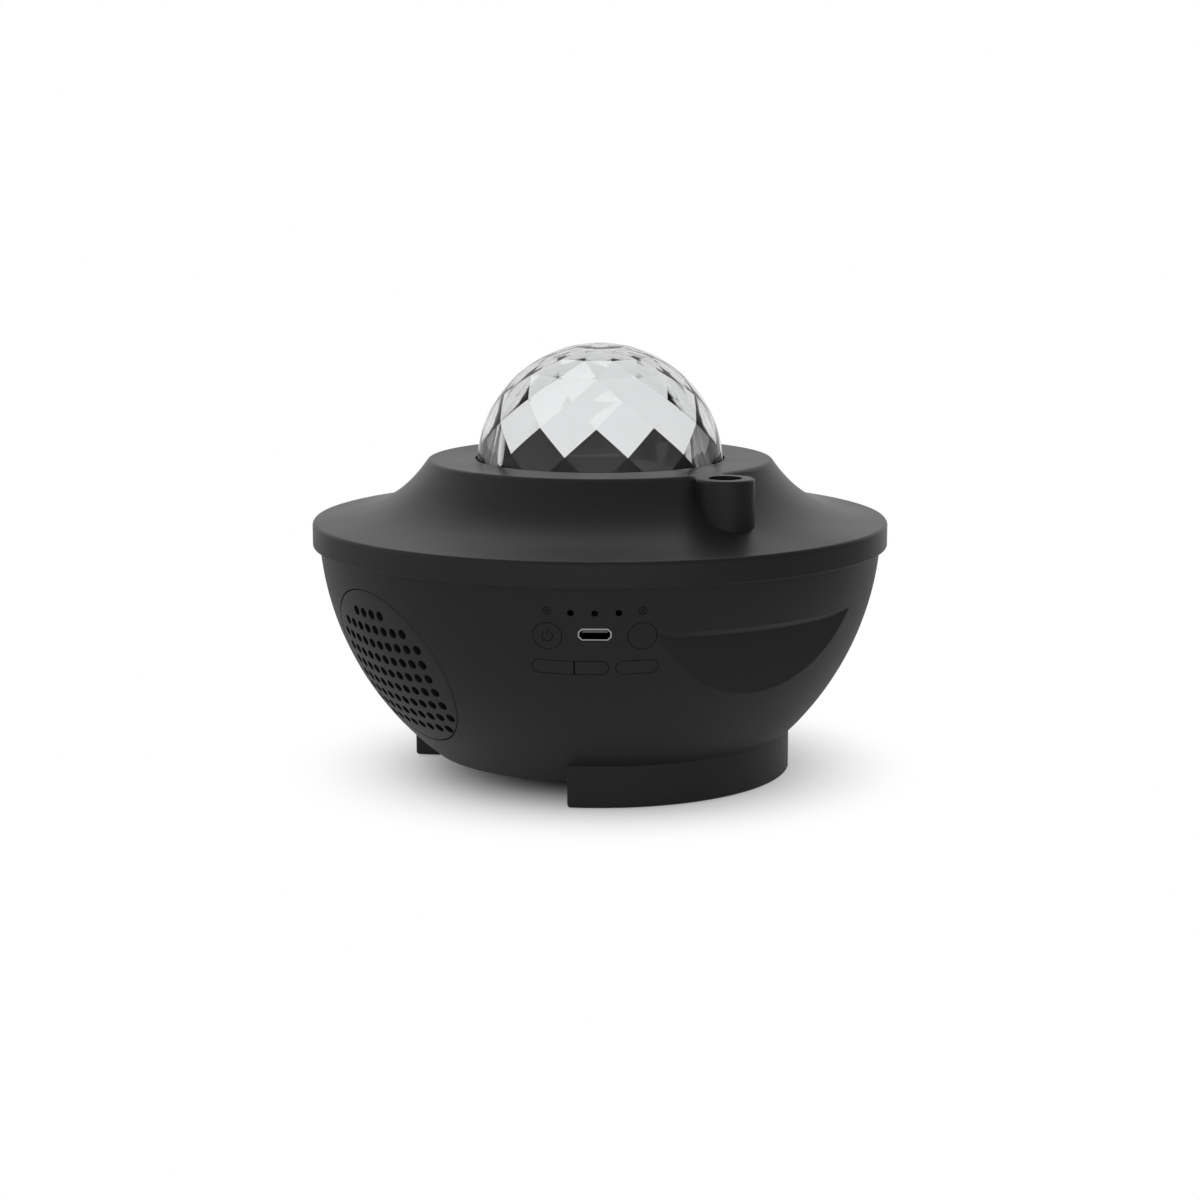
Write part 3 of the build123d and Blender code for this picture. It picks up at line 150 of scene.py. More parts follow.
def circuitBoard(name, mask, copper, scale):
    # Solder mask over a maze of tracks; their spacing and edges are in cells of the pattern
    spacing, edgeStart, edgeEnd, thickness = 0.18, 0.08, 0.1, 0.03 * mm
    material = newFinish(name, mask, 0.35, Coat_Weight=0.3, Coat_Roughness=0.2)
    tree = material.node_tree
    place = placeOf(tree)
    tracks = addNode(tree, "ShaderNodeTexVoronoi", [("Vector", place)], distance="CHEBYCHEV", Scale=scale)
    fold = calc(tree, "PINGPONG", tracks.outputs["Distance"], spacing)
    line = addNode(tree, "ShaderNodeMapRange", [("Value", fold)], From_Min=edgeStart, From_Max=edgeEnd)
    addTint(material, line.outputs["Result"], mask, copper)
    addBump(material, line.outputs["Result"], thickness)
    return material


def wovenCloth(name, dark, light, pitch):
    # Plain weave from two crossed waves
    material = newFinish(name, dark, 0.9, Sheen_Weight=0.3)
    tree = material.node_tree
    place = placeOf(tree)
    warp, weft = [
        addNode(tree, "ShaderNodeTexWave", [("Vector", place)], bands_direction=axis, Scale=pitch)
        for axis in ("Y", "Z")
    ]
    height = calc(tree, "MULTIPLY", warp.outputs["Fac"], weft.outputs["Fac"])
    addTint(material, height, dark, light)
    addBump(material, height, 0.1 * mm)
    return material


def cellular(name, dark, light, roughness, scale, depth):
    # Foam, felt or sintered surface
    material = newFinish(name, dark, roughness)
    tree = material.node_tree
    cells = addNode(tree, "ShaderNodeTexVoronoi", [("Vector", placeOf(tree))], Scale=scale)
    addTint(material, cells.outputs["Distance"], dark, light)
    addBump(material, cells.outputs["Distance"], depth)
    return material


nickel = {
    "color": (0.66, 0.66, 0.65),
    "roughness": (0.16, 0.28),
    "stretch": (1, 1, 5),
    "scale": 700,
    "depth": 0.002 * mm,
}

housingBlack = mouldedPlastic(
    "housingBlack", (0.0085, 0.0085, 0.0092), (0.011, 0.011, 0.0118), (0.36, 0.44), 2600, 0.012 * mm,
    Specular_IOR_Level=0.42,
)
buttonBlack = mouldedPlastic(
    "buttonBlack", (0.0085, 0.0085, 0.0092), (0.0105, 0.0105, 0.0112), (0.34, 0.4), 3200, 0.008 * mm,
    Specular_IOR_Level=0.42,
)
grilleBlack = mouldedPlastic(
    "grilleBlack", (0.011, 0.011, 0.0118), (0.0135, 0.0135, 0.0145), (0.38, 0.46), 2600, 0.012 * mm,
    Specular_IOR_Level=0.46,
)
inlayBlack = mouldedPlastic(
    "inlayBlack", (0.003, 0.003, 0.0032), (0.0042, 0.0042, 0.0045), (0.5, 0.6), 3000, 0.004 * mm,
    Specular_IOR_Level=0.2,
)
# Port's tongue: its black lightened to mid grey, a painted highlight for its lit front edge
bladePaintedHighlight = mouldedPlastic(
    "bladePaintedHighlight", (0.12, 0.12, 0.123), (0.14, 0.14, 0.143), (0.3, 0.4), 2400, 0.004 * mm,
)
innerBlack = mouldedPlastic(
    "innerBlack", (0.004, 0.004, 0.0042), (0.006, 0.006, 0.0063), (0.5, 0.6), 1800, 0.02 * mm,
    Specular_IOR_Level=0.25,
)
rubberBlack = mouldedPlastic(
    "rubberBlack", (0.012, 0.012, 0.012), (0.018, 0.018, 0.018), (0.75, 0.88), 1500, 0.03 * mm,
)
siliconeGrey = mouldedPlastic(
    "siliconeGrey", (0.1, 0.105, 0.11), (0.12, 0.125, 0.13), (0.6, 0.7), 900, 0.01 * mm,
    Subsurface_Weight=0.1,
)
gearWhite = mouldedPlastic(
    "gearWhite", (0.62, 0.61, 0.56), (0.66, 0.65, 0.6), (0.35, 0.45), 1200, 0.006 * mm, Subsurface_Weight=0.1,
)
nylonWhite = mouldedPlastic(
    "nylonWhite", (0.7, 0.68, 0.6), (0.74, 0.72, 0.64), (0.4, 0.5), 1400, 0.006 * mm,
)
chipBlack = mouldedPlastic(
    "chipBlack", (0.013, 0.013, 0.014), (0.02, 0.02, 0.021), (0.5, 0.62), 4000, 0.006 * mm,
)
sleeveBlue = mouldedPlastic(
    "sleeveBlue", (0.012, 0.02, 0.07), (0.015, 0.025, 0.085), (0.25, 0.35), 800, 0.004 * mm,
)
leadGrey = mouldedPlastic(
    "leadGrey", (0.03, 0.03, 0.032), (0.045, 0.045, 0.048), (0.6, 0.7), 1600, 0.02 * mm,
)
phosphorYellow = mouldedPlastic(
    "phosphorYellow", (0.72, 0.55, 0.08), (0.8, 0.62, 0.12), (0.4, 0.55), 5000, 0.01 * mm,
)
domeClear = clearPlastic("domeClear", (0.965, 0.97, 0.975), 0.0, 1.49, 45, 0.004 * mm)
rippleClear = clearPlastic("rippleClear", (0.94, 0.95, 0.96), 0.02, 1.25, 260, 0.01 * mm)
windowClear = clearPlastic("windowClear", (0.9, 0.92, 0.93), 0.02, 1.5, 60, 0.002 * mm)
filmClear = clearPlastic("filmClear", (0.85, 0.88, 0.9), 0.06, 1.45, 4000, 0.002 * mm)
zincPlate = brushedMetal("zincPlate", (0.42, 0.43, 0.45), (0.26, 0.42), (1, 1, 1), 900, 0.004 * mm)
motorSteel = brushedMetal("motorSteel", (0.48, 0.49, 0.51), (0.24, 0.4), (1, 1, 12), 260, 0.004 * mm)
shellNickel = brushedMetal("shellNickel", **nickel)
turnedBrass = brushedMetal("turnedBrass", (0.62, 0.42, 0.15), (0.18, 0.32), (1, 1, 14), 400, 0.004 * mm)
extrudedAluminium = brushedMetal(
    "extrudedAluminium", (0.62, 0.63, 0.65), (0.28, 0.42), (0.08, 1, 1), 900, 0.006 * mm,
)
ferriteGrey = cellular("ferriteGrey", (0.03, 0.03, 0.032), (0.07, 0.07, 0.072), 0.6, 1800, 0.02 * mm)
foamBlack = cellular("foamBlack", (0.008, 0.008, 0.008), (0.02, 0.02, 0.02), 0.95, 1600, 0.15 * mm)
paperBlack = cellular("paperBlack", (0.012, 0.012, 0.012), (0.022, 0.022, 0.022), 0.85, 1100, 0.05 * mm)
maskGreen = circuitBoard("maskGreen", (0.008, 0.09, 0.03), (0.02, 0.17, 0.06), 420)
maskWhite = circuitBoard("maskWhite", (0.7, 0.72, 0.7), (0.76, 0.77, 0.74), 260)
meshCloth = wovenCloth("meshCloth", (0.004, 0.004, 0.004), (0.02, 0.02, 0.02), 420)

finishes = [
    (housingBlack, "bowl_housing top_cover"),
    (grilleBlack, "speaker_grille"),
    (buttonBlack, "power_button light_button volume_down_button play_button volume_up_button"),
    (innerBlack, "dome_retainer light_chassis wave_gear laser_holder"),
    (rubberBlack, "foot_pads speaker_surround"),
    (siliconeGrey, "keypad_mat"),
    (gearWhite, "motor_pinion grating_gear"),
    (nylonWhite, "wire_sockets"),
    (chipBlack, "control_chips remote_receiver"),
    (bladePaintedHighlight, "usb_tongue"),
    (sleeveBlue, "capacitors"),
    (leadGrey, "speaker_lead light_lead motor_lead laser_lead panel_lead"),
    (phosphorYellow, "led_chips"),
    (domeClear, "dome_lens led_lens"),
    (rippleClear, "wave_disc"),
    (windowClear, "laser_window status_lamp"),
    (filmClear, "grating_film"),
    (zincPlate, "case_screws retainer_screws chassis_screws led_screws"),
    (zincPlate, "speaker_screws panel_screws board_screws"),
    (motorSteel, "motor_gearbox drive_motor motor_shaft speaker_frame"),
    (shellNickel, "usb_shell radio_module microphone"),
    (turnedBrass, "laser_module voice_coil"),
    (extrudedAluminium, "heat_sink"),
    (ferriteGrey, "speaker_magnet"),
    (foamBlack, "speaker_gasket"),
    (paperBlack, "speaker_cone dust_cap"),
    (maskGreen, "main_board panel_board"),
    (maskWhite, "led_board"),
    (meshCloth, "grille_cloth"),
]
for finish, names in finishes:
    for name in names.split():
        nodes[name].data.materials.clear()
        nodes[name].data.materials.append(finish)
print("finishes given to every node")


# Node trees for what follows a rule

def newTree(name, sizes):
    # An empty tree with named inputs; returns it, its inputs and its output node
    tree = bpy.data.node_groups.new(name, "GeometryNodeTree")
    tree.interface.new_socket("Geometry", in_out="INPUT", socket_type="NodeSocketGeometry")
    for label, value in sizes.items():
        kind = "Int" if isinstance(value, int) else "Float" if isinstance(value, float) else "Material"
        tree.interface.new_socket(label, in_out="INPUT", socket_type="NodeSocket" + kind)
    tree.interface.new_socket("Geometry", in_out="OUTPUT", socket_type="NodeSocketGeometry")
    return tree, tree.nodes.new("NodeGroupInput").outputs, tree.nodes.new("NodeGroupOutput")


def vector(tree, *parts):
    made = addNode(tree, "ShaderNodeCombineXYZ")
    for socket, part in zip(made.inputs, parts):
        feed(tree, socket, part)
    return made.outputs[0]


def shape(tree, kind, links=(), **values):
    # A geometry node, by its name after GeometryNode
    return addNode(tree, "GeometryNode" + kind, links, **values).outputs[0]


def moved(tree, geometry, place):
    return shape(tree, "Transform", [("Geometry", geometry), ("Translation", place)])


def joined(tree, *parts):
    made = tree.nodes.new("GeometryNodeJoinGeometry")
    for part in parts:
        tree.links.new(part, made.inputs[0])
    return made.outputs[0]


def merged(tree, *solids):
    made = addNode(tree, "GeometryNodeMeshBoolean", operation="UNION", solver="EXACT")
    for solid in solids:
        tree.links.new(solid, made.inputs["Mesh 2"])
    return made.outputs[0]


def drilled(tree, solid, *cutters):
    made = addNode(
        tree, "GeometryNodeMeshBoolean", [("Mesh 1", solid)], operation="DIFFERENCE", solver="EXACT",
    )
    for cutter in cutters:
        tree.links.new(cutter, made.inputs["Mesh 2"])
    return made.outputs[0]


def endTree(tree, result, geometry, paint):
    real = shape(tree, "RealizeInstances", [("Geometry", geometry)])
    tree.links.new(shape(tree, "SetMaterial", [("Geometry", real), ("Material", paint)]), result.inputs[0])


def grow(name, tree, sizes, base=None):
    # Runs the tree once and keeps its result as a plain mesh
    piece = bpy.data.objects.new(name, base or bpy.data.meshes.new(name))
    bpy.context.scene.collection.objects.link(piece)
    modifier = piece.modifiers.new("form", "NODES")
    modifier.node_group = tree
    for item in tree.interface.items_tree:
        if item.item_type == "SOCKET" and item.in_out == "INPUT" and item.name in sizes:
            modifier[item.identifier] = sizes[item.name]
    graph = bpy.context.evaluated_depsgraph_get()
    plain = bpy.data.meshes.new_from_object(piece.evaluated_get(graph))
    piece.modifiers.remove(modifier)
    piece.data = plain
    plain.name = name
    return piece


def shadeByAngle(mesh, degreesApart):
    mesh.shade_smooth()
    mesh.set_sharp_from_angle(angle=radians(degreesApart))


# Dome: smooth outside, triangles inside, on a flange under the collar

dome = {
    "Facets": 12,
    "Rows": 7,
    "Radius": 36.0 * mm,
    "Wall": 1.5 * mm,                # at the corners of the triangles
    "First Row": radians(-3.0),
    "Row Step": radians(13.5),
    "Turn": radians(-97.8),
    "Centre": 89.1 * mm,
    "Ledge": 0.2 * mm,               # the bore is this much narrower than the triangles' first row
    "Bore Start": 1.0 * mm,          # below the flange
    "Cap Start": 0.5 * mm,           # below the flange's top
    "Segments": 144,
    "Rings": 72,
    "Flange Radius": 39.1 * mm,
    "Flange Low": 84.34 * mm,
    "Flange High": 86.34 * mm,
    "Material": domeClear,
}


def triangleCorners(tree, given, radius):
    # Rows of points on a sphere, each second row turned by half a step, and one point at the top
    index = tree.nodes.new("GeometryNodeInputIndex").outputs[0]
    row = calc(tree, "FLOOR", calc(tree, "DIVIDE", index, given["Facets"]))
    column = calc(tree, "MODULO", index, given["Facets"])
    shift = calc(tree, "MULTIPLY", calc(tree, "MODULO", row, 2.0), 0.5)
    step = calc(tree, "DIVIDE", tau, given["Facets"])
    turn = calc(tree, "MULTIPLY_ADD", calc(tree, "ADD", column, shift), step, given["Turn"])
    rise = calc(tree, "MULTIPLY_ADD", row, given["Row Step"], given["First Row"])
    arm = vector(tree, radius, 0.0, 0.0)
    angles = vector(tree, 0.0, calc(tree, "MULTIPLY", rise, -1.0), turn)
    aimed = addNode(
        tree, "ShaderNodeVectorRotate", [("Vector", arm), ("Rotation", angles)], rotation_type="EULER_XYZ",
    )
    centre = vector(tree, 0.0, 0.0, given["Centre"])
    place = addNode(tree, "ShaderNodeVectorMath", [(0, aimed.outputs[0]), (1, centre)], operation="ADD")
    count = calc(tree, "MULTIPLY", given["Facets"], given["Rows"])
    rows = shape(tree, "Points", [("Count", count), ("Position", place.outputs[0])])
    top = vector(tree, 0.0, 0.0, calc(tree, "ADD", given["Centre"], radius))
    tip = shape(tree, "Points", [("Position", top)], Count=1)
    return joined(tree, rows, tip)


def domeTree():
    tree, given, result = newTree("facetedDome", dome)
    low, high = given["Flange Low"], given["Flange High"]
    ball = shape(
        tree, "MeshUVSphere",
        [("Radius", given["Radius"]), ("Segments", given["Segments"]), ("Rings", given["Rings"])],
    )
    ball = moved(tree, ball, vector(tree, 0.0, 0.0, given["Centre"]))
    height = addNode(
        tree, "ShaderNodeSeparateXYZ", [(0, tree.nodes.new("GeometryNodeInputPosition").outputs[0])],
    ).outputs["Z"]
    sunk = calc(tree, "LESS_THAN", height, calc(tree, "SUBTRACT", high, given["Cap Start"]))
    cap = shape(tree, "DeleteGeometry", [("Geometry", ball), ("Selection", sunk)])
    outside = shape(tree, "ConvexHull", [("Geometry", cap)])
    middle = calc(tree, "MULTIPLY", calc(tree, "ADD", high, low), 0.5)
    flange = shape(
        tree, "MeshCylinder",
        [("Vertices", given["Segments"]), ("Radius", given["Flange Radius"]),
         ("Depth", calc(tree, "SUBTRACT", high, low))],
    )
    solid = merged(tree, outside, moved(tree, flange, vector(tree, 0.0, 0.0, middle)))
    inner = calc(tree, "SUBTRACT", given["Radius"], given["Wall"])
    core = shape(tree, "ConvexHull", [("Geometry", triangleCorners(tree, given, inner))])
    half = calc(tree, "COSINE", calc(tree, "DIVIDE", pi, given["Facets"]))
    boreRadius = calc(tree, "SUBTRACT", calc(tree, "MULTIPLY", inner, half), given["Ledge"])
    boreLow = calc(tree, "SUBTRACT", low, given["Bore Start"])
    boreDepth = calc(tree, "SUBTRACT", given["Centre"], boreLow)
    bore = shape(
        tree, "MeshCylinder", [("Vertices", given["Segments"]), ("Radius", boreRadius), ("Depth", boreDepth)],
    )
    lift = calc(tree, "MULTIPLY", calc(tree, "ADD", given["Centre"], boreLow), 0.5)
    bore = moved(tree, bore, vector(tree, 0.0, 0.0, lift))
    endTree(tree, result, drilled(tree, drilled(tree, solid, core), bore), given["Material"])
    return tree


def makeDome():
    # Only the faces that lie on the outer ball are shaded smooth
    piece = grow("faceted_dome", domeTree(), dome)
    centre = Vector((0, 0, dome["Centre"]))
    slack = 0.02 * mm
    for face in piece.data.polygons:
        corners = [piece.data.vertices[index].co for index in face.vertices]
        face.use_smooth = all(abs((corner - centre).length - dome["Radius"]) < slack for corner in corners)
    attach(piece, "housing")
    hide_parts("dome_lens")


makeDome()
print("dome made")


# Cover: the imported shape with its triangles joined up, so that broad faces shade evenly, and an even rim

cover = {
    "weld": 0.001 * mm,
    "sharp": 28,                     # degrees between faces that keep a crease
    "weight": 90,                    # how far large faces lead the shading
    "rimRings": 12,
    "rimFacets": 180,
    "rimHandles": [                  # radius and height, from the skirt up to the flare
        (84.0 * mm, 72.9 * mm), (84.06 * mm, 73.35 * mm), (83.66 * mm, 74.24 * mm), (83.0 * mm, 74.2 * mm),
    ],
    "slack": 0.02 * mm,              # how far off a vertex may lie and still count
}


def curveSpot(handles, t):
    # Radius and height at t on the curve with these four handles
    shares = ((1 - t) ** 3, 3 * t * (1 - t) ** 2, 3 * t * t * (1 - t), t ** 3)
    return [sum(share * handle[axis] for share, handle in zip(shares, handles)) for axis in (0, 1)]


def angleOf(vert):
    return atan2(vert.co.y, vert.co.x)


def stitch(work, low, high):
    # Joins two rings of vertices, each in order of its angle, with triangles
    a = b = 0
    angles = [[angleOf(vert) for vert in ring] + [tau + angleOf(ring[0])] for ring in (low, high)]
    while a < len(low) or b < len(high):
        first, second = low[a % len(low)], high[b % len(high)]
        if b == len(high) or a < len(low) and angles[0][a + 1] < angles[1][b + 1]:
            a += 1
            work.faces.new((first, low[a % len(low)], second))
        else:
            b += 1
            work.faces.new((first, high[b % len(high)], second))


def roundRim(work):
    # Even rings in place of the slivers of the rounding over the skirt
    (_, lowest), (innermost, _) = cover["rimHandles"][0], cover["rimHandles"][-1]
    slack = cover["slack"]
    inside, bottom, top = [], [], []
    for vert in work.verts:
        reach, height = vert.co.xy.length, vert.co.z
        if height > lowest - slack and reach > innermost - slack:
            if height < lowest + slack:
                bottom.append(vert)
            elif reach < innermost + slack:
                top.append(vert)
            else:
                inside.append(vert)
    bmesh.ops.delete(work, geom=inside, context="VERTS")
    border = set(bottom + top)
    flat = [face for face in work.faces if border.issuperset(face.verts)]
    bmesh.ops.delete(work, geom=flat, context="FACES_ONLY")
    turns = [tau * (index / cover["rimFacets"] - 0.5) for index in range(cover["rimFacets"])]
    rings = [sorted(bottom, key=angleOf)]
    for step in range(1, cover["rimRings"]):
        radius, height = curveSpot(cover["rimHandles"], step / cover["rimRings"])
        rings.append([work.verts.new((radius * cos(turn), radius * sin(turn), height)) for turn in turns])
    rings.append(sorted(top, key=angleOf))
    for low, high in zip(rings, rings[1:]):
        stitch(work, low, high)
    print("cover's open edges:", sum(edge.is_boundary for edge in work.edges))


def makeCover():
    work = bmesh.new()
    work.from_mesh(nodes["top_cover"].data)
    bmesh.ops.remove_doubles(work, verts=work.verts, dist=cover["weld"])
    roundRim(work)
    mesh = bpy.data.meshes.new("flared_cover")
    work.to_mesh(mesh)
    work.free()
    if "custom_normal" in mesh.attributes:
        mesh.attributes.remove(mesh.attributes["custom_normal"])
    shadeByAngle(mesh, cover["sharp"])
    mesh.materials.clear()
    mesh.materials.append(housingBlack)
    piece = bpy.data.objects.new("flared_cover", mesh)
    bpy.context.scene.collection.objects.link(piece)
    even = piece.modifiers.new("even", "WEIGHTED_NORMAL")
    even.keep_sharp = True
    even.weight = cover["weight"]
    graph = bpy.context.evaluated_depsgraph_get()
    plain = bpy.data.meshes.new_from_object(piece.evaluated_get(graph))
    piece.modifiers.remove(even)
    piece.data = plain
    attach(piece, "housing")
    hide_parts("top_cover")


makeCover()
print("cover made")


# Places on the bowl's side

bowl = {
    "arcRadius": 86.3 * mm,
    "arcHeight": 74.15 * mm,
    "arcOffset": 4.05 * mm,          # the arc's centre lies this far beyond the axis
    "searchLow": -12 * mm,           # where the outside is looked for, from a plane that touches it
    "searchHigh": 4 * mm,
    "halvings": 36,
}
panel = {                            # middle of the control panel
    "azimuth": -37,                  # degrees from -Y towards +X
    "height": 52 * mm,
}


def bowlRadius(height):
    return sqrt(bowl["arcRadius"] ** 2 - (height - bowl["arcHeight"]) ** 2) - bowl["arcOffset"]


def surfaceFrame(azimuth, height):
    # Touches the bowl's outside: x sideways, y up the slope, z outwards
    tilt = asin((bowl["arcHeight"] - height) / bowl["arcRadius"])
    turn = radians(azimuth)
    side = Vector((cos(turn), sin(turn), 0))
    out = Vector((sin(turn) * cos(tilt), -cos(turn) * cos(tilt), -sin(tilt)))
    place = Matrix((side, out.cross(side), out)).transposed().to_4x4()
    place.translation = (bowlRadius(height) * sin(turn), -bowlRadius(height) * cos(turn), height)
    return place


def surfaceDepth(place, x, y):
    # Height of the bowl's outside over the flat point x, y, found by halving
    low, high = bowl["searchLow"], bowl["searchHigh"]
    for _ in range(bowl["halvings"]):
        middle = (low + high) / 2
        spot = place @ Vector((x, y, middle))
        if spot.xy.length > bowlRadius(spot.z):
            high = middle
        else:
            low = middle
    return low


# Charging port's shell

port = {
    "recess": 0.3 * mm,              # from the bowl's outside to the shell's front edge
    "bright": 0.04 * mm,             # the metal keeps its own colour down to here behind that edge
    "dark": 0.12 * mm,               # and is fully in painted shade from here on
    # colour of the painted shade inside the shell
    "shade": (0.012, 0.012, 0.012),
}


def portMetalPaintedShade():
    # Nickel with painted shade inside the shell: its own colour along the front edge, painted dark deeper in
    material = brushedMetal("portNickelPaintedShade", **nickel)
    tree = material.node_tree
    place = surfaceFrame(panel["azimuth"], panel["height"])
    out = place.col[2].xyz
    edge = place.translation.dot(out) - port["recess"]
    where = addNode(tree, "ShaderNodeTexCoord")
    depth = addNode(tree, "ShaderNodeVectorMath", [(0, where.outputs["Object"])], operation="DOT_PRODUCT")
    depth.inputs[1].default_value = out
    paintedShadeFade = addNode(
        tree, "ShaderNodeMapRange", [("Value", depth.outputs["Value"])],
        From_Min=edge - port["dark"], From_Max=edge - port["bright"],
    )
    addTint(material, paintedShadeFade.outputs["Result"], port["shade"], nickel["color"])
    return material


nodes["usb_shell"].data.materials[0] = portMetalPaintedShade()    # in place of the plain nickel, with painted shade inside the shell
print("port's shell shaded")


# Loudspeaker's grille: a plate that follows the bowl, with a flange behind it and rows of round holes

grille = {
    "Hole Radius": 1.45 * mm,
    "Hole Sides": 20,
    "Columns": 10,
    "Rows": 9,
    "Pitch": 4.0667 * mm,
    "Row Pitch": 4.6 * mm,
    "Field Radius": 22.3 * mm,       # holes lie within this circle
    "Field Drop": 2.0 * mm,          # whose middle is this much lower than the grille's
    "Drill Length": 13.0 * mm,
    "Material": grilleBlack,
}
grilleBlank = {
    "azimuth": -90,
    "height": 36.3 * mm,
    "radius": 24.9 * mm,
    "edge": 0.3 * mm,                # rounding along the front
    "edgeSteps": (30, 60, 90),       # degrees along that rounding
    "plate": 1.6 * mm,
    "throat": 23.3 * mm,
    "flangeRadius": 27.1 * mm,
    "seat": 6.5 * mm,
    "flange": 1.2 * mm,
    "rings": 20,
    "spokes": 144,
    "sharp": 35,                     # degrees between faces that keep a crease
}


def grilleForm():
    # Turned form in the grille's own frame, its front and the plate's back drawn onto the bowl
    place = surfaceFrame(grilleBlank["azimuth"], grilleBlank["height"])
    radius, throat, edge = grilleBlank["radius"], grilleBlank["throat"], grilleBlank["edge"]
    seat, plate, count = grilleBlank["seat"], grilleBlank["plate"], grilleBlank["rings"]
    front = [((radius - edge) * step / count, 0, True) for step in range(1, count + 1)]
    for angle in grilleBlank["edgeSteps"]:
        away = edge * (1 - cos(radians(angle)))
        front.append((radius - edge + edge * sin(radians(angle)), -away, True))
    side = [(radius, -seat, False), (grilleBlank["flangeRadius"], -seat, False)]
    side += [(reach, -seat - grilleBlank["flange"], False) for reach in (grilleBlank["flangeRadius"], throat)]
    back = [(throat * step / count, -plate, True) for step in range(count, 0, -1)]
    work = bmesh.new()
    spokes, rings = grilleBlank["spokes"], []
    for reach, depth, follows in front + side + back:
        ring = []
        for spoke in range(spokes):
            x, y = reach * cos(tau * spoke / spokes), reach * sin(tau * spoke / spokes)
            ring.append(work.verts.new((x, y, depth + (surfaceDepth(place, x, y) if follows else 0))))
        rings.append(ring)
    for inner, outer in zip(rings, rings[1:]):
        for spoke in range(spokes):
            after = (spoke + 1) % spokes
            work.faces.new((inner[spoke], outer[spoke], outer[after], inner[after]))
    for ring, depth in ((rings[0], 0), (rings[-1], -plate)):
        tip = work.verts.new((0, 0, depth + surfaceDepth(place, 0, 0)))
        for spoke in range(spokes):
            work.faces.new((tip, ring[spoke], ring[(spoke + 1) % spokes]))
    bmesh.ops.recalc_face_normals(work, faces=work.faces)
    mesh = bpy.data.meshes.new("grilleForm")
    work.to_mesh(mesh)
    work.free()
    return mesh, place


def grilleTree():
    tree, given, result = newTree("perforated", grille)
    width = calc(tree, "MULTIPLY", calc(tree, "SUBTRACT", given["Columns"], 1.0), given["Pitch"])
    height = calc(tree, "MULTIPLY", calc(tree, "SUBTRACT", given["Rows"], 1.0), given["Row Pitch"])
    field = shape(
        tree, "MeshGrid",
        [("Size X", width), ("Size Y", height),
         ("Vertices X", given["Columns"]), ("Vertices Y", given["Rows"])],
    )
    spot = tree.nodes.new("GeometryNodeInputPosition").outputs[0]
    shifted = addNode(
        tree, "ShaderNodeVectorMath", [(0, spot), (1, vector(tree, 0.0, given["Field Drop"], 0.0))],
        operation="ADD",
    )
    reach = addNode(tree, "ShaderNodeVectorMath", [(0, shifted.outputs[0])], operation="LENGTH")
    far = calc(tree, "GREATER_THAN", reach.outputs["Value"], given["Field Radius"])
    field = shape(tree, "DeleteGeometry", [("Geometry", field), ("Selection", far)])
    drill = shape(
        tree, "MeshCylinder",
        [("Vertices", given["Hole Sides"]), ("Radius", given["Hole Radius"]),
         ("Depth", given["Drill Length"])],
    )
    drills = shape(tree, "InstanceOnPoints", [("Points", field), ("Instance", drill)])
    drills = shape(tree, "RealizeInstances", [("Geometry", drills)])
    endTree(tree, result, drilled(tree, given["Geometry"], drills), given["Material"])
    return tree


def makeGrille():
    form, place = grilleForm()
    piece = grow("perforated_grille", grilleTree(), grille, base=form)
    piece.data.transform(place)
    shadeByAngle(piece.data, grilleBlank["sharp"])
    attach(piece, "housing")
    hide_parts("speaker_grille")
    print("grille faces:", len(piece.data.polygons))


makeGrille()


# Rippled disc under the dome, turned by the wave gear

ripples = {
    "Radius": 37.95 * mm,
    "Low": 73.4 * mm,
    "Thickness": 2.0 * mm,
    "Rings": 60,
    "Spokes": 96,
    "Depth": 0.22 * mm,
    "Waves": 9.0,                    # from the middle to the edge
    "Lobes": 5.0,                    # the rings wander this often round the disc
    "Waved Share": 0.96,             # of the radius; the rest is flat
    "Material": rippleClear,
}
rippleSharp = 40                     # degrees between faces that keep a crease


def rippleTree():
    tree, given, result = newTree("rippled", ripples)
    index = tree.nodes.new("GeometryNodeInputIndex").outputs[0]
    spot = tree.nodes.new("GeometryNodeInputPosition").outputs[0]
    apart = addNode(tree, "ShaderNodeSeparateXYZ", [(0, spot)])
    blank = shape(
        tree, "MeshCylinder",
        [("Vertices", given["Spokes"]), ("Fill Segments", given["Rings"]), ("Radius", given["Radius"]),
         ("Depth", given["Thickness"])],
    )
    reach = addNode(
        tree, "ShaderNodeVectorMath", [(0, vector(tree, apart.outputs["X"], apart.outputs["Y"], 0.0))],
        operation="LENGTH",
    ).outputs["Value"]
    share = calc(tree, "DIVIDE", reach, given["Radius"])
    turn = calc(tree, "ARCTAN2", apart.outputs["Y"], apart.outputs["X"])
    wander = calc(tree, "SINE", calc(tree, "MULTIPLY", turn, given["Lobes"]))
    phase = calc(tree, "MULTIPLY_ADD", calc(tree, "MULTIPLY", share, given["Waves"]), tau, wander)
    lower = calc(tree, "LESS_THAN", apart.outputs["Z"], 0.0)
    inside = calc(tree, "LESS_THAN", share, given["Waved Share"])
    swing = calc(tree, "MULTIPLY_ADD", calc(tree, "SINE", phase), 0.5, 0.5)
    wave = calc(tree, "MULTIPLY", swing, given["Depth"])
    rise = calc(tree, "MULTIPLY", wave, calc(tree, "MULTIPLY", lower, inside))
    waved = shape(tree, "SetPosition", [("Geometry", blank), ("Offset", vector(tree, 0.0, 0.0, rise))])
    lift = calc(tree, "MULTIPLY_ADD", given["Thickness"], 0.5, given["Low"])
    endTree(tree, result, moved(tree, waved, vector(tree, 0.0, 0.0, lift)), given["Material"])
    return tree


def makeRipples():
    piece = grow("rippled_disc", rippleTree(), ripples)
    shadeByAngle(piece.data, rippleSharp)
    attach(piece, "wave_wheel")
    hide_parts("wave_disc")


makeRipples()


# Marks on the control panel, thin inlays that follow the bowl

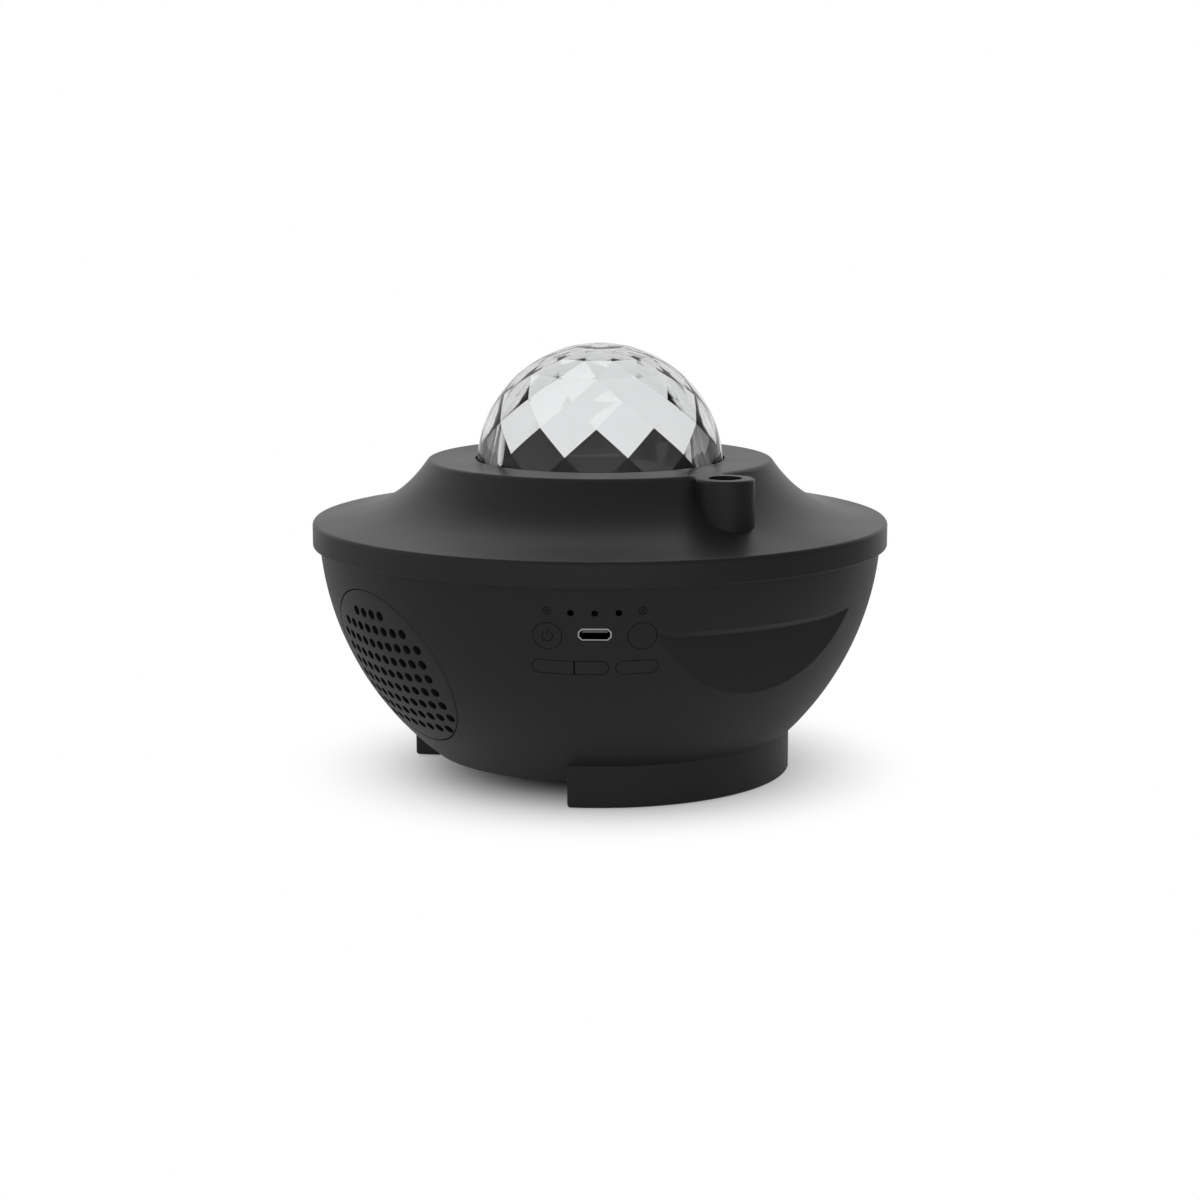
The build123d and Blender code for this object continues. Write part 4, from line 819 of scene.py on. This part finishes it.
marks = {
    "proud": 0.02 * mm,
    "sunk": 0.05 * mm,
    "line": 0.3 * mm,                # width of a stroke
    "powerU": -12.65 * mm,
    "powerV": 1.35 * mm,
    "powerRadius": 1.45 * mm,
    "powerGap": 38,                  # degrees on each side of the bar
    "barLow": 0.2,                   # of the radius, above its middle
    "barHigh": 1.25,
    "iconU": 12.8 * mm,
    "iconV": 8.55 * mm,
    "iconRadius": 1.0 * mm,
    "dotShare": 0.35,                # of the ring's radius
}


def arcStroke(u, v, radius, start, end, steps=24):
    # Pairs of points on both sides of an arc, angles in degrees from the upward direction
    pairs = []
    for step in range(steps + 1):
        angle = radians(start + (end - start) * step / steps)
        way = Vector((sin(angle), cos(angle)))
        pairs.append([Vector((u, v)) + way * (radius + side * marks["line"] / 2) for side in (-1, 1)])
    return pairs


def barStroke(start, end, steps=4):
    way = (Vector(end) - Vector(start)).normalized()
    across = Vector((-way.y, way.x)) * marks["line"] / 2
    points = [Vector(start).lerp(Vector(end), step / steps) for step in range(steps + 1)]
    return [[point - across, point + across] for point in points]


def inlay(work, place, pairs):
    # Closed strip whose face follows the bowl
    levels = (marks["proud"], -marks["sunk"])
    rows = []
    for pair in pairs:
        spots = []
        for level in levels:
            for point in pair:
                depth = surfaceDepth(place, point.x, point.y) + level
                spots.append(work.verts.new(place @ Vector((point.x, point.y, depth))))
        rows.append(spots)
    order = (0, 1, 3, 2)
    for row, after in zip(rows, rows[1:]):
        for index, corner in enumerate(order):
            last = order[index - 1]
            work.faces.new((row[last], row[corner], after[corner], after[last]))
    for row in (rows[0], rows[-1]):
        work.faces.new([row[corner] for corner in order])


def addMark(name, strokes, body):
    work = bmesh.new()
    place = surfaceFrame(panel["azimuth"], panel["height"])
    for pairs in strokes:
        inlay(work, place, pairs)
    bmesh.ops.recalc_face_normals(work, faces=work.faces)
    mesh = bpy.data.meshes.new(name)
    work.to_mesh(mesh)
    work.free()
    mesh.materials.append(inlayBlack)
    piece = bpy.data.objects.new(name, mesh)
    bpy.context.scene.collection.objects.link(piece)
    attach(piece, body)


def makeMarks():
    u, v, radius, gap = marks["powerU"], marks["powerV"], marks["powerRadius"], marks["powerGap"]
    bar = barStroke((u, v + marks["barLow"] * radius), (u, v + marks["barHigh"] * radius))
    addMark("power_mark", [arcStroke(u, v, radius, gap, 360 - gap), bar], "power")
    u, v, radius = marks["iconU"], marks["iconV"], marks["iconRadius"]
    icons = []
    for side in (-1, 1):
        icons.append(arcStroke(side * u, v, radius, 0, 360))
        icons.append(arcStroke(side * u, v, marks["dotShare"] * radius, 0, 360, steps=12))
    addMark("panel_icons", icons, "housing")


makeMarks()
print("grille, disc and marks made")


# Room and camera

viewpoint = {
    "azimuth": -36.0,            # degrees from -Y towards +X
    "distance": 0.7583,
    "height": 0.1843,
    "pitch": 10.10,              # degrees below level
    "lens": 78.19,               # millimetres
    "sensor": 36.0,
    "clipStart": 0.01,
}
studio = {
    "floorRadius": 0.4,
    "floorSides": 96,
    "floorColor": (0.88, 0.88, 0.88),
    "floorRoughness": 0.75,
    "floorSpecular": 0.15,
    "fadeStart": 0.025,          # metres from the middle, where the floor starts to turn white
    "fadeEnd": 0.096,
    "fill": 0.5,                 # brightness of the room on plain surfaces
    "glossBase": 0.2,            # in gloss, away from the glows
    "glassBase": 0.3,            # through glass, away from the glows
    "floorGloss": 0.42,          # brightness of the floor in gloss
    "lampSize": 1.2,
    "lampPower": 8.5,            # watts
    "lampPlace": (-0.35, 0.25, 1.2),
    "lampTarget": (0, 0, 0.06),
}

# Degrees from the way to the camera, degrees above level, strength, cosines where it starts and is full
glossGlows = [
    (180, 20, 0.62, 0.5, 0.92),
    (0, -6, 0.46, 0.6, 0.99),
    (-85, 8, 0.33, 0.5, 0.97),
]
glassGlows = [
    (0, -90, 0.36, -0.75, -0.3),
    (180, -25, 0.22, 0.3, 0.9),
]


def placeCamera():
    turn = radians(viewpoint["azimuth"])
    camera = bpy.data.objects.new("camera", bpy.data.cameras.new("camera"))
    bpy.context.scene.collection.objects.link(camera)
    camera.data.sensor_width = viewpoint["sensor"]
    camera.data.lens = viewpoint["lens"]
    camera.data.clip_start = viewpoint["clipStart"]
    reach = viewpoint["distance"]
    camera.location = (reach * sin(turn), -reach * cos(turn), viewpoint["height"])
    camera.rotation_euler = (radians(90 - viewpoint["pitch"]), 0, turn)
    bpy.context.scene.camera = camera


def hangLamp():
    lamp = bpy.data.lights.new("topLamp", "AREA")
    lamp.shape = "DISK"
    lamp.size = studio["lampSize"]
    lamp.energy = studio["lampPower"]
    holder = bpy.data.objects.new("topLamp", lamp)
    bpy.context.scene.collection.objects.link(holder)
    holder.location = studio["lampPlace"]
    aim = Vector(studio["lampTarget"]) - Vector(studio["lampPlace"])
    holder.rotation_euler = aim.to_track_quat("-Z", "Y").to_euler()
    holder.visible_glossy = False


def spreadGlow(tree, toward, side, rise, strength, start, full):
    # A broad glow of the room round one direction
    turn = radians(viewpoint["azimuth"] + side)
    level = cos(radians(rise))
    facing = addNode(tree, "ShaderNodeVectorMath", [(0, toward)], operation="DOT_PRODUCT")
    facing.inputs[1].default_value = (level * sin(turn), -level * cos(turn), sin(radians(rise)))
    spread = addNode(
        tree, "ShaderNodeMapRange", [("Value", facing.outputs["Value"])], From_Min=start, From_Max=full,
        interpolation_type="SMOOTHSTEP",
    )
    spread.inputs["To Max"].default_value = strength
    return spread.outputs["Result"]


def sumGlows(tree, toward, base, glows):
    total = base
    for glow in glows:
        total = calc(tree, "ADD", total, spreadGlow(tree, toward, *glow))
    return total


def choose(tree, ray, others, chosen):
    # The chosen level for this kind of ray, and the others' for the rest
    made = addNode(tree, "ShaderNodeMix", [(0, ray)])
    feed(tree, made.inputs[2], others)
    feed(tree, made.inputs[3], chosen)
    return made.outputs[0]


def lightRoom():
    # White to the camera; gloss and glass see a softer room with a few broad glows
    world = bpy.data.worlds.new("room")
    bpy.context.scene.world = world
    world.use_nodes = True
    tree = world.node_tree
    glow = tree.nodes["Background"]
    glow.inputs["Color"].default_value = (1, 1, 1, 1)
    toward = addNode(tree, "ShaderNodeTexCoord").outputs["Generated"]
    gloss = sumGlows(tree, toward, studio["glossBase"], glossGlows)
    glass = sumGlows(tree, toward, studio["glassBase"], glassGlows)
    rays = addNode(tree, "ShaderNodeLightPath").outputs
    level = choose(tree, rays["Is Glossy Ray"], studio["fill"], gloss)
    level = choose(tree, rays["Is Transmission Ray"], level, glass)
    level = choose(tree, rays["Is Camera Ray"], level, 1.0)
    tree.links.new(level, glow.inputs["Strength"])


def layFloor():
    # A pale floor that keeps the shadow near the object and fades into the white room
    bpy.ops.mesh.primitive_circle_add(
        vertices=studio["floorSides"], radius=studio["floorRadius"], fill_type="NGON",
    )
    floor = bpy.context.object
    floor.name = "floor"
    material = newFinish(
        "floorPaint", studio["floorColor"], studio["floorRoughness"],
        Specular_IOR_Level=studio["floorSpecular"],
    )
    tree = material.node_tree
    shader = tree.nodes["Principled BSDF"]
    output = tree.nodes["Material Output"]
    where = addNode(tree, "ShaderNodeTexCoord")
    far = addNode(tree, "ShaderNodeVectorMath", [(0, where.outputs["Object"])], operation="LENGTH")
    fade = addNode(
        tree, "ShaderNodeMapRange", [("Value", far.outputs["Value"])],
        From_Min=studio["fadeStart"], From_Max=studio["fadeEnd"], interpolation_type="SMOOTHSTEP",
    )
    rays = addNode(tree, "ShaderNodeLightPath").outputs
    direct = calc(tree, "MAXIMUM", rays["Is Camera Ray"], rays["Is Transmission Ray"])
    direct = calc(tree, "MAXIMUM", direct, rays["Is Glossy Ray"])
    share = calc(tree, "MULTIPLY", fade.outputs["Result"], direct)
    glow = choose(tree, rays["Is Glossy Ray"], 1.0, studio["floorGloss"])
    white = addNode(tree, "ShaderNodeEmission", [("Strength", glow)])
    mixed = addNode(
        tree, "ShaderNodeMixShader",
        [(0, share), (1, shader.outputs["BSDF"]), (2, white.outputs["Emission"])],
    )
    tree.links.new(mixed.outputs["Shader"], output.inputs["Surface"])
    floor.data.materials.append(material)


placeCamera()
lightRoom()
hangLamp()
layFloor()
bpy.context.scene.view_settings.view_transform = "Standard"
print("room and camera placed")
